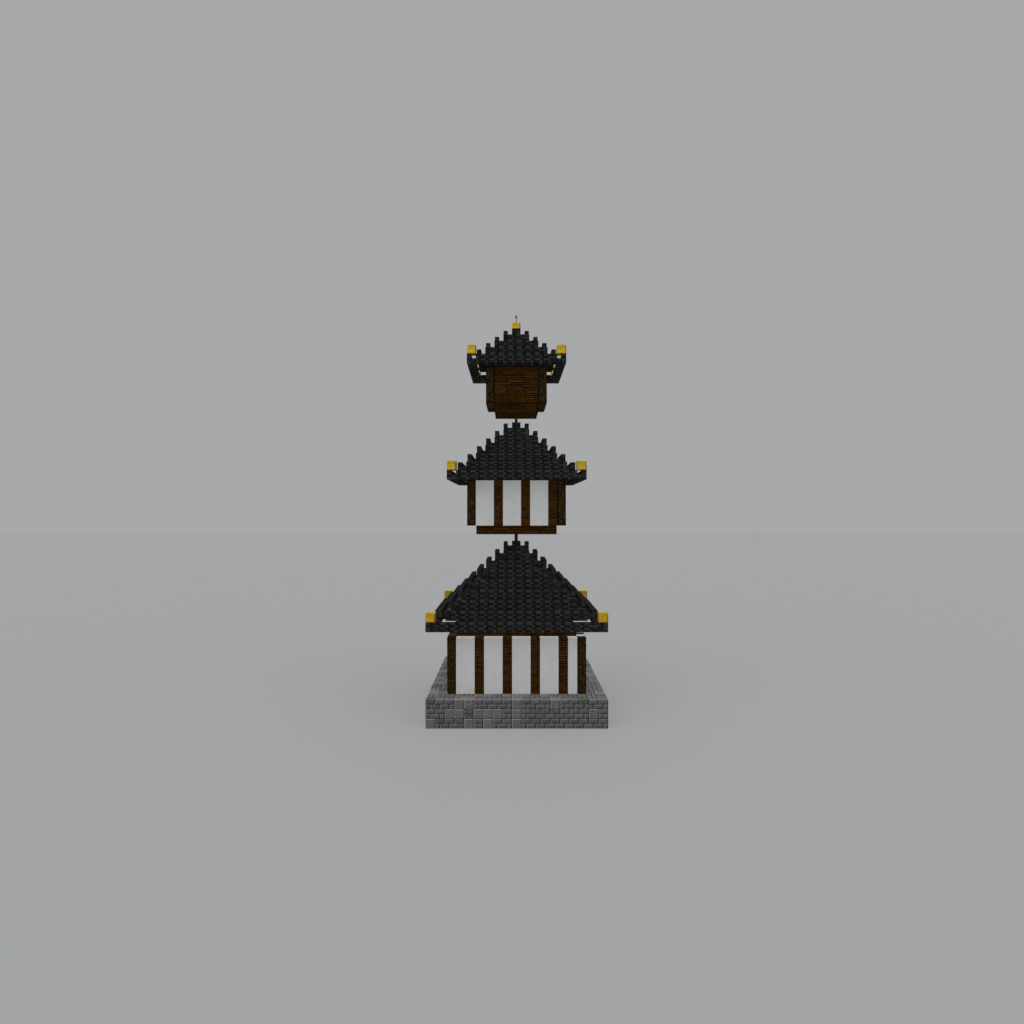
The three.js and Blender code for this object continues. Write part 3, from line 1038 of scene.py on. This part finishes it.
fill(tree, shader, {"Base Color": colour, "Roughness": 0.95, "Specular IOR Level": 0.1, "Normal": bump})
print(lime.name, len(tree.nodes), "nodes")

# %% [markdown]
# Plaster panels
# Each wall's panels are cubes at the size of the gap between two posts, a little behind the posts'
# faces. A flat face would do under a high sun, but low light shows how uneven plaster is. So the edges
# are subdivided to near-square meshes, and a soft noise moves the surface by a few millimetres, as a
# float does. A lining closes the wall behind the posts.

# %% Boxes and even meshes
# Lengths that differ by less than this share of a step count as alike.
ALIKE = 0.01


def add_box(x, y, z):
    """A cube primitive at its size and place."""
    bpy.ops.object.select_all(action="DESELECT")
    ranges = (x, y, z)
    bpy.ops.mesh.primitive_cube_add(
        size=1,
        location=[(low + high) / 2 for low, high in ranges],
        scale=[high - low for low, high in ranges],
    )
    bpy.ops.object.transform_apply(location=True, rotation=True, scale=True)
    return bpy.context.object


def is_alike(length, other, step):
    return abs(length - other) < ALIKE * step


def subdivide_along(piece, axis, step):
    """Cuts every edge that runs along an axis into steps, group by group of like length."""
    lengths = set()
    for edge in piece.data.edges:
        start, end = (piece.data.vertices[number].co for number in edge.vertices)
        lengths.add(round(abs(start[axis] - end[axis]), 3))
    bpy.ops.object.mode_set(mode="EDIT")
    bpy.ops.mesh.select_mode(type="EDGE")
    for length in sorted(length for length in lengths if length > step):
        select_edges(piece, lambda start, end: is_alike(abs(start[axis] - end[axis]), length, step))
        bpy.ops.mesh.subdivide(number_cuts=round(length / step))
    bpy.ops.object.mode_set(mode="OBJECT")


# %% Floating the panels
PANEL_SETBACK = 0.012
PANEL_STEP = 0.08
PANEL_WAVE_LENGTH = 0.28
PANEL_WAVE_DEPTH = 0.007
LINING_DEPTH = 0.2 * MODULE
float_marks = cloud_texture("float_marks", PANEL_WAVE_LENGTH, 1)


def floated_panels(storey, side):
    """The panels between the posts of a wall, all in one piece, laid out on the front."""
    last = round(2 * storey.half / MODULE) - 1
    stops = [0] + post_columns(storey, side) + [last]
    depth = (-storey.half + PANEL_SETBACK, -storey.half + MODULE)
    panels = []
    for before, after in zip(stops, stops[1:]):
        if after > before + 1:
            x = (-storey.half + (before + 1) * MODULE, -storey.half + after * MODULE)
            panels.append(add_box(x, depth, (storey.foot, storey.top)))
    panel = joined(panels, f"{storey.name}_{side}_panels")
    subdivide_along(panel, 2, PANEL_STEP)
    subdivide_along(panel, 0, PANEL_STEP)
    push_in(panel, float_marks, PANEL_WAVE_DEPTH)
    return panel


def lining(storey, side):
    room = storey.half - MODULE - (0 if side in CORNER_SIDES else LINING_DEPTH)
    behind = (-storey.half + MODULE, -storey.half + MODULE + LINING_DEPTH)
    lined = (storey.foot + PLATE_HEIGHT, storey.top - HEAD_COVER - PLATE_HEIGHT)
    return add_box((-room, room), behind, lined)


for storey in storeys:
    for side, turn in SIDES.items():
        node = f"{storey.name}_{side}_plaster"
        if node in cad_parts:
            panel = floated_panels(storey, side)
            panel = joined([panel, lining(storey, side)], panel.name)
            panel.data.transform(quarter_turns(turn))
            hand_over(panel, [lime], "plaster", node)
print(triangles_of("panels"))

# %% [markdown]
# Dark brick
# The roofs are laid with hard brick that a kiln short of air has turned nearly black. How black one
# comes out depends on its place in the kiln, and that is its tone. The upper part of each face is a
# little paler, and a painted shade darkens the flat tops. The joints are black. Four or five dark
# materials could be dealt out instead, but one that reads the tone shades every brick on its own.

# %% Dark brick
FIRING_SPOT = 0.028
SPOT_CONTRAST = (0.32, 0.68)
BRICK_TONES = (0.24, 1.88)
# Where on a brick's face, from -1 at its foot to 1 at its top, it begins to pale and is palest.
PALER_UPWARDS = (-0.5, 0.9)
# How much paler a brick's face is at its top.
TOP_PALENESS = 0.12
# How bright a brick's top is beside its face, under its painted shade.
PAINTED_TOP_SHADE = 0.60
# How far from a brick's arris its joint's black starts, and how near it is at its full.
BLACK_JOINT = (0.018, 0.006)
black_brick, tree, shader = new_material("reduction_fired_black_brick")
places = block_places(tree)
spots = add(tree, "ShaderNodeTexNoise", {"Vector": places.grain, "Scale": 1 / FIRING_SPOT, "Detail": 5.0})
mottle, fired = laid_over(tree, spots, SPOT_CONTRAST, "#1e1e1e", "#323232")
brick = toned(tree, places, fired, BRICK_TONES)
_, paled_brick = laid_over(tree, places.height, PALER_UPWARDS, brick, "#454546", most=TOP_PALENESS)
# The flat top of each brick is darkened by a painted shade.
top = {"Value": places.height, "From Min": 0.97, "To Min": 1.0, "To Max": PAINTED_TOP_SHADE}
top_shade_factor = add(tree, "ShaderNodeMapRange", top)
top_shaded = add(tree, "ShaderNodeVectorMath", {0: paled_brick, "Scale": top_shade_factor}, operation="SCALE")
_, colour = laid_over(tree, places.edge, BLACK_JOINT, top_shaded, "#0c0c0c")
bump = add(tree, "ShaderNodeBump", {"Height": mottle, "Distance": 0.004, "Strength": 0.7})
fill(tree, shader, {"Base Color": colour, "Roughness": 0.9, "Specular IOR Level": 0.0, "Normal": bump})
print(black_brick.name, len(tree.nodes), "nodes")

# %% [markdown]
# Roof courses
# Each ring of a roof is a full-height lip with a half-height tread behind it, four courses to a module.
# They are laid in a bond of one long brick and one short one to a module, shifted by half a module from
# course to course. The long bricks are the pale ones in one course and the short ones in the next. A
# brick pattern in the finish would save the blocks, but its joints would be flat, and these are open.

# %% The bond
BRICK_HEIGHT = QUARTER
# The share of a module that a pale brick takes, in the even courses and in the odd ones.
PALE_SHARES = (0.38, 0.64)
PALE_TONES = (0.60, 1.0)
DARK_TONES = (0.05, 0.30)
END_TONES = (0.1, 1.0)


def bond(low, high, course, chance):
    """The bricks of one course, as their ends and tone."""
    start = low - HALF * (course % 2)
    while start < high:
        middle, end = start + PALE_SHARES[course % 2] * MODULE, start + MODULE
        for left, right, tones in ((start, middle, PALE_TONES), (middle, end, DARK_TONES)):
            ends = (max(left, low), min(right, high))
            if ends[1] > ends[0]:
                at_end = ends[0] == low or ends[1] == high
                yield ends, chance.uniform(*(END_TONES if at_end else tones))
        start = end


def brick_courses(reach, y, z, turn, chance):
    """Courses of bricks that fill a wall of the given reach each way."""
    blocks = []
    for course, height in enumerate(even_rows(*z, BRICK_HEIGHT)):
        for ends, tone in bond(-reach, reach, course, chance):
            blocks.append(block(ends, y, height, turn, tone=tone))
    return blocks


# %% [markdown]
# Backing and caps
# Behind every ring but the eave's and the top one, a backing of longer blocks stands under the next
# ring. Seconds were used there, so that some are paler. Each side's backing leaves its right-hand end to
# the next side, as bricklayers turn a corner, so no block is laid twice.

# %% The backing
BACKING_TONES = (0.0, 0.55)
SHARE_OF_SECONDS = 0.22
TONE_OF_SECONDS = 1.7


def backing_blocks(roof, ring, turn, chance):
    """One module behind a ring: blocks a module long and half a module high."""
    outer = roof.half - (ring + 1) * MODULE
    y = (-outer, -outer + MODULE)
    blocks = []
    for row in range(2):
        foot = roof.foot + ring * MODULE + row * HALF
        cuts = np.arange(-outer, outer - MODULE + HALF, MODULE)
        if row == 1:
            cuts = np.concatenate((cuts[:1], cuts[:-1] + HALF, cuts[-1:]))
        for ends in zip(cuts, cuts[1:]):
            is_second = chance.uniform() < SHARE_OF_SECONDS
            tone = TONE_OF_SECONDS if is_second else chance.uniform(*BACKING_TONES)
            blocks.append(block(ends, y, (foot, foot + HALF), turn, tone=tone))
    return blocks


# %% A slope and a cap


def slope_blocks(roof, side, chance):
    """All the rings of one slope. The side slopes hold the corners of the eave."""
    blocks = []
    turn = SIDES[side]
    for ring in range(roof.rings):
        front = -roof.half + ring * MODULE
        foot = roof.foot + ring * MODULE
        holds_corner = ring == 0 and side not in CORNER_SIDES
        reach = roof.half if holds_corner else roof.half - (ring + 1) * MODULE
        blocks += brick_courses(reach, (front, front + HALF), (foot, foot + MODULE), turn, chance)
        blocks += brick_courses(reach, (front + HALF, front + MODULE), (foot, foot + HALF), turn, chance)
        if 0 < ring < roof.rings - 1:
            blocks += backing_blocks(roof, ring, turn, chance)
    return blocks


def cap_blocks(node):
    """Four bricks a course, each one running past the end of the next, round the pillar."""
    low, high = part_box(node)
    foot, top = on_grid(low.z), on_grid(high.z)
    hole = pillar_half_at(foot)
    blocks = []
    for course, height in enumerate(even_rows(foot, top, BRICK_HEIGHT)):
        run = (-HALF, hole) if course % 2 == 0 else (-hole, HALF)
        blocks += [block(run, (-HALF, -hole), height, turn) for turn in SIDES.values()]
    return blocks


# %% Laying the roofs
BRICK_ARRIS = 0.007
BRICK_UNEVENNESS = 0.0016
ROOF_SEED = 300
CAP_SEED = 400


def brick_piece(name, bricks, node, seed):
    piece = laid(name, bricks, BRICK_ARRIS, BRICK_UNEVENNESS, seed)
    hand_over(piece, [black_brick], "roof_brick", node)


for number, roof in enumerate(roofs):
    for side, turn in SIDES.items():
        seed = ROOF_SEED + SEEDS_A_LEVEL * number + turn
        bricks = slope_blocks(roof, side, np.random.default_rng(seed))
        brick_piece(f"{roof.name}_{side}_courses", bricks, f"{roof.name}_{side}_slope", seed)
    cap = f"{roof.name}_cap"
    brick_piece(f"{cap}_bricks", cap_blocks(cap), cap, CAP_SEED + number)
print(triangles_of("courses"))

# %% [markdown]
# Eave beams
# Oak beams lie across what is level with a roof's foot, the ceiling deck of the lowest storey and the
# wall tops of the others. They hold the eave's course out, and a short strut on each one stands under
# the courses above. The eave shows how far a beam has to reach. Each is a sawn block with its arrises
# off. There are few of them, so they're modelled one by one, and one side's set is copied to the others.

# %% Sawing a timber
BEAM_ARRIS = 0.008
# The building's axes that a timber's own X, Y and Z follow, by the axis of its grain.
GRAIN_ORDER = {"y": (1, 2, 0), "z": (2, 0, 1)}


def sawn_timber(x, y, z, grain, tone):
    """A squared timber whose grain runs along the given axis."""
    timber = add_box(x, y, z)
    arrises_off(timber, BEAM_ARRIS)
    middle = Vector([(low + high) / 2 for low, high in (x, y, z)])
    order = GRAIN_ORDER[grain]
    local = np.array([point.co - middle for point in timber.data.vertices])[:, order]
    half = np.array([(high - low) / 2 for low, high in (x, y, z)])[list(order)]
    tell_place(timber.data, local, np.tile(half, (len(local), 1)), np.full(len(local), tone))
    return timber


# %% Setting the eave beams
BEAM_WIDTH = 0.3 * MODULE
BEAM_HEIGHT = 0.2 * MODULE
# Beams are this far apart at most, and the outer ones stand this far in from the wall's corners.
BEAM_SPACING = 8 * MODULE
BEAM_INSET = 1.5 * MODULE
STRUT_LENGTH = 0.4 * MODULE
STRUT_INSET = 0.3 * MODULE
# The tone of a side's first beam, and how much paler each next one is.
BEAM_TONE, BEAM_TONE_STEP = 0.3, 0.2


def eave_beam(roof, seat_row, offset, tone):
    """A beam and the strut on it, at a place along the front eave."""
    width = (offset - BEAM_WIDTH / 2, offset + BEAM_WIDTH / 2)
    eave = -roof.half + MODULE
    seat = -roof.half + seat_row * MODULE
    top = roof.foot + BEAM_HEIGHT
    beam = sawn_timber(width, (eave, seat + MODULE), (roof.foot, top), "y", tone)
    strut_reach = (seat + STRUT_INSET, seat + STRUT_INSET + STRUT_LENGTH)
    strut = sawn_timber(width, strut_reach, (top, roof.foot + (seat_row - 1) * MODULE), "z", tone)
    return [beam, strut]


for roof, storey in zip(roofs, storeys):
    seat_half = storey.half - (roof.foot - storey.top)
    seat_row = round((roof.half - seat_half) / MODULE)
    furthest = seat_half - BEAM_INSET
    # Rounded first, so that an exact number of spacings doesn't become one more.
    steps = math.ceil(round(2 * furthest / BEAM_SPACING, 3))
    timbers = []
    for step in range(steps + 1):
        offset = furthest * (2 * step / steps - 1)
        timbers += eave_beam(roof, seat_row, offset, BEAM_TONE + BEAM_TONE_STEP * step)
    front_beams = joined(timbers, f"{roof.name}_front_beams")
    hand_over(front_beams, [tarred_oak], "dark_timber", f"{roof.name}_front_slope")
    for side in ("right", "back", "left"):
        piece = new_object(f"{roof.name}_{side}_beams", front_beams.data.copy())
        piece.data.transform(quarter_turns(SIDES[side]))
        piece.data.materials.clear()
        hand_over(piece, [tarred_oak], "dark_timber", f"{roof.name}_{side}_slope")
    print(roof.name, "beams at a seat", seat_half, "from the middle,", steps + 1, "to a side")

# %% [markdown]
# Heart pillar
# One pillar runs from the plinth to the apex and carries the upper storeys. It is thinner above each
# upper floor, which rests on the shoulder. It could be round, but a square one fills the square holes of
# the decks and caps. Its lengths are hewn square, with the arrises off.

# %% Hewing the pillar
# The tone of the lowest stretch between two changes of width, and how much paler each next one is.
PILLAR_TONE, PILLAR_TONE_STEP = 0.4, 0.1
pillar_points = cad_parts["heart_pillar"].data.vertices
pillar_stops = sorted({round(point.co.z, 3) for point in pillar_points})
lengths = []
for number, (foot, top) in enumerate(zip(pillar_stops, pillar_stops[1:])):
    if top - foot >= HALF:
        half = pillar_half_at(foot)
        tone = PILLAR_TONE + PILLAR_TONE_STEP * number
        lengths.append(sawn_timber((-half, half), (-half, half), (foot, top), "z", tone))
pillar = joined(lengths, "heart_pillar_hewn")
hand_over(pillar, [oak], "dark_timber", "heart_pillar")
print("pillar stops:", pillar_stops, "lengths:", len(lengths))

# %% [markdown]
# Gold leaf
# The blocks on the corners and at the apex are gilt: gold leaf on a primed core. A yellow paint would
# look chalky. Leaf is a metal, so its colour comes from what it reflects, and the brown priming shows
# through in spots where the leaf is rubbed. Along the lower and right edges the same brown is a painted
# shade. Its fine wrinkles are drawn at 50 mm so that they show.

# %% Gold leaf
LEAF_WRINKLE = 0.05
WRINKLE_CONTRAST = (0.38, 0.62)
RUBBED_SPOT = 0.02
# How far from a block's arris the band of painted shade starts, and how near it is at its full.
BAND_START, BAND_FULL = 0.060, 0.048
gold, tree, shader = new_material("gold_leaf_rubbed")
places = block_places(tree)
spot = add(tree, "ShaderNodeTexCoord").outputs["Object"]
wrinkle = add(tree, "ShaderNodeTexNoise", {"Vector": spot, "Scale": 1 / LEAF_WRINKLE, "Detail": 5.0})
rub = add(tree, "ShaderNodeTexNoise", {"Vector": spot, "Scale": 1 / RUBBED_SPOT, "Detail": 3.0})
_, leaf = laid_over(tree, wrinkle, WRINKLE_CONTRAST, "#c0941a", "#d9cc48")
# A band along the lower and right edges is a painted shade in the priming's brown, beside the rubbed spots.
band_range = {"Value": places.edge, "From Min": BAND_START, "From Max": BAND_FULL}
in_painted_shade_band = add(tree, "ShaderNodeMapRange", band_range)
low_right = add(tree, "ShaderNodeMapRange", {"Value": places.lean, "From Min": 0.1, "From Max": -0.4})
painted_shade_band = add(tree, "ShaderNodeMath", {0: in_painted_shade_band, 1: low_right}, operation="MULTIPLY")
worn_spots = add(tree, "ShaderNodeMapRange", {"Value": rub, "From Min": 0.60, "From Max": 0.68})
wear_and_painted_shade = add(tree, "ShaderNodeMath", {0: painted_shade_band, 1: worn_spots}, operation="MAXIMUM")
colour = add(tree, "ShaderNodeMix", {"Factor": wear_and_painted_shade, "A": leaf, "B": "#8f5d1c"}, data_type="RGBA")
dull = add(tree, "ShaderNodeMapRange", {"Value": rub, "To Min": 0.42, "To Max": 0.68})
bump = add(tree, "ShaderNodeBump", {"Height": wrinkle, "Distance": 0.004, "Strength": 0.5})
fill(tree, shader, {"Base Color": colour, "Roughness": dull, "Metallic": 1.0, "Normal": bump})
print(gold.name, len(tree.nodes), "nodes")

# %% [markdown]
# Gilt blocks
# One block is modelled and copied thirteen times: a cube with a plain frame round a shallow sunk panel
# on every face, and soft arrises that catch the light. All six faces are inset at once, each on its
# own, which keeps their frames alike.

# %% Modelling the gilt block
GILT_FRAME = 0.045
GILT_SINK = 0.012
GILT_ARRIS = 0.007
# The small clearance that a block keeps from its neighbours.
FIT = 0.0003
# Where two faces meet at less than this, the edge is shaded round.
SMOOTH_ANGLE = math.radians(40)
bpy.ops.object.select_all(action="DESELECT")
bpy.ops.mesh.primitive_cube_add(size=MODULE - FIT)
gilt = bpy.context.object
bpy.ops.object.mode_set(mode="EDIT")
bpy.ops.mesh.select_mode(type="FACE")
bpy.ops.mesh.select_all(action="SELECT")
bpy.ops.mesh.inset(thickness=GILT_FRAME, use_individual=True)
bpy.ops.mesh.inset(thickness=GILT_SINK, depth=-GILT_SINK, use_individual=True)
bpy.ops.object.mode_set(mode="OBJECT")
arrises_off(gilt, GILT_ARRIS, segments=2)
bpy.ops.object.shade_smooth_by_angle(angle=SMOOTH_ANGLE)
print("gilt block:", len(gilt.data.polygons), "faces")

# %% Setting the gilt blocks
gilt_nodes = sorted(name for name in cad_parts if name.endswith("gilt_block"))
for node in gilt_nodes:
    low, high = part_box(node)
    piece = new_object(f"{node}_leafed", gilt.data.copy())
    local = np.array([point.co for point in piece.data.vertices])
    tell_place(piece.data, local, np.full(local.shape, MODULE / 2), np.full(len(local), MIDDLE_TONE))
    piece.data.transform(Matrix.Translation((low + high) / 2))
    hand_over(piece, [gold], "gilt", node)
bpy.data.objects.remove(gilt)
print(len(gilt_nodes), "gilt blocks,", made_triangles[f"{gilt_nodes[0]}_leafed"], "triangles each")

# %% [markdown]
# Copper
# The finial is copper. Its rod has weathered to a dull brown-grey, and its head is a brighter red, as
# copper is under a thin red oxide. Both are stained in spots, and the paler spots are duller. Bare metal
# would mirror the sky, and paint would hide it. An oxide lies between, so the shader is set half way.

# %% Copper
FINIAL_SPOT = 0.02


def copper(name, dark, light):
    material, tree, shader = new_material(name)
    spot = add(tree, "ShaderNodeTexCoord").outputs["Object"]
    stain = add(tree, "ShaderNodeTexNoise", {"Vector": spot, "Scale": 1 / FINIAL_SPOT, "Detail": 4.0})
    colour = add(tree, "ShaderNodeMix", {"Factor": stain, "A": dark, "B": light}, data_type="RGBA")
    dull = add(tree, "ShaderNodeMapRange", {"Value": stain, "To Min": 0.45, "To Max": 0.75})
    fill(tree, shader, {"Base Color": colour, "Roughness": dull, "Metallic": 0.5})
    print(name, len(tree.nodes), "nodes")
    return material


dull_copper = copper("weathered_brown_copper", "#5e4238", "#80655a")
red_copper = copper("red_oxide_copper", "#7c2e1c", "#a04630")

# %% [markdown]
# Finial
# A thin rod on the apex block carries a thicker head. Stacked cylinders would leave a seam at every
# change of width, so the profile is spun round the axis, as a metal spinner makes such a piece.

# %% The finial's profile
ROD_RADIUS = 0.025
HEAD_RADIUS = 0.060
HEAD_FOOT = 0.325
SHOULDER = 0.020
CROWN = 0.045
COLLAR = 0.012
finial_low, finial_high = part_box("finial")
finial_height = finial_high.z - finial_low.z
profile = [
    (0, 0),
    (ROD_RADIUS + COLLAR, 0),
    (ROD_RADIUS + COLLAR, COLLAR),
    (ROD_RADIUS, 2 * COLLAR),
    (ROD_RADIUS, HEAD_FOOT),
    (HEAD_RADIUS, HEAD_FOOT + SHOULDER),
    (HEAD_RADIUS, finial_height - CROWN),
    (ROD_RADIUS, finial_height),
    (0, finial_height),
]
mesh = bpy.data.meshes.new("finial_spun")
points = [(radius, 0, finial_low.z + z) for radius, z in profile]
mesh.from_pydata(points, [(end, end + 1) for end in range(len(points) - 1)], [])
finial = new_object("finial_spun", mesh)
print("finial height:", round(finial_height, 4))

# %% Spinning the finial
SPIN_STEPS = 32
FINIAL_ARRIS = 0.004
MERGE_DISTANCE = 0.0001
select_only(finial)
bpy.ops.object.mode_set(mode="EDIT")
bpy.ops.mesh.select_all(action="SELECT")
bpy.ops.mesh.spin(steps=SPIN_STEPS, angle=2 * math.pi, center=(0, 0, 0), axis=(0, 0, 1))
bpy.ops.mesh.select_all(action="SELECT")
bpy.ops.mesh.remove_doubles(threshold=MERGE_DISTANCE)
bpy.ops.mesh.normals_make_consistent(inside=False)
bpy.ops.object.mode_set(mode="OBJECT")
arrises_off(finial, FINIAL_ARRIS)
for face in finial.data.polygons:
    face.material_index = 1 if face.center.z > finial_low.z + HEAD_FOOT else 0
bpy.ops.object.shade_smooth_by_angle(angle=SMOOTH_ANGLE)
hand_over(finial, [dull_copper, red_copper], "copper", "finial")
print("finial:", made_triangles["finial_spun"], "triangles")

# %% [markdown]
# Camera, floor and light
# The camera stands level, about half as high as the tower, a little left of its axis, with a wide view.
# Its place was worked out from the tower's own edges. The floor is a pale plane, the sky a pale even
# dome. One broad soft sun comes from the front left, and fill lights without shadows, from the left,
# the right, above and below, keep the walls and undersides by the eaves as flat and pale as they are
# seen. The one from below stands for light off the ground.

# %% Camera
CAMERA_PLACE = (-0.25, -36.445, 11.25)
FIELD_OF_VIEW = math.radians(80)
SENSOR_WIDTH = 36
VIEW_DEPTH = 1000
camera_data = bpy.data.cameras.new("camera")
camera_data.sensor_width = SENSOR_WIDTH
camera_data.lens = SENSOR_WIDTH / 2 / math.tan(FIELD_OF_VIEW / 2)
camera_data.clip_end = VIEW_DEPTH
camera = new_object("camera", camera_data)
camera.location = CAMERA_PLACE
camera.rotation_euler = (math.pi / 2, 0, 0)
bpy.context.scene.camera = camera
print("lens:", round(camera_data.lens, 2), "mm")

# %% Floor
FLOOR_SIZE = 600
bpy.ops.object.select_all(action="DESELECT")
bpy.ops.mesh.primitive_plane_add(size=FLOOR_SIZE, location=(0, 0, 0))
floor = bpy.context.object
floor.name = "studio_floor"
pale, tree, shader = new_material("pale_studio_floor")
fill(tree, shader, {"Base Color": "#949596", "Roughness": 0.9, "Specular IOR Level": 0.1})
floor.data.materials.append(pale)
print("floor:", FLOOR_SIZE, "m square")

# %% Light
SKY_BRIGHTNESS = 0.43
SUN_SOFTNESS = math.radians(50)
# Each sun by its name, brightness, height, how far it stands to the left, and whether it casts shadows.
SUNS = [
    ("soft_key_sun", 0.28, math.radians(42), math.radians(25), True),
    ("left_fill_sun", 0.75, math.radians(28), math.radians(58), False),
    ("right_fill_sun", 0.75, math.radians(28), math.radians(-58), False),
    ("overhead_fill_sun", 1.75, math.radians(90), 0.0, False),
    ("ground_bounce_sun", 0.70, math.radians(-90), 0.0, False),
]
world = bpy.data.worlds.new("pale_dome")
world.use_nodes = True
background = world.node_tree.nodes["Background"]
fill(world.node_tree, background, {"Color": "#f4f6f8", "Strength": SKY_BRIGHTNESS})
bpy.context.scene.world = world
for name, brightness, height, from_left, casts_shadow in SUNS:
    sun_data = bpy.data.lights.new(name, "SUN")
    sun_data.energy = brightness
    sun_data.angle = SUN_SOFTNESS
    sun_data.use_shadow = casts_shadow
    sun = new_object(name, sun_data)
    sun.rotation_euler = (math.pi / 2 - height, 0, -from_left)
bpy.context.scene.view_settings.view_transform = "Standard"
print(len(SUNS), "suns")

# %% [markdown]
# Measuring
# The triangles that the dressed pieces add are counted, in all and for the largest piece.
# The box of the dressed building has to stay within the box of the solids, apart from a few
# millimetres.

# %% Measure and finish
print("triangles added:", sum(made_triangles.values()), "largest:", max(made_triangles.values()))
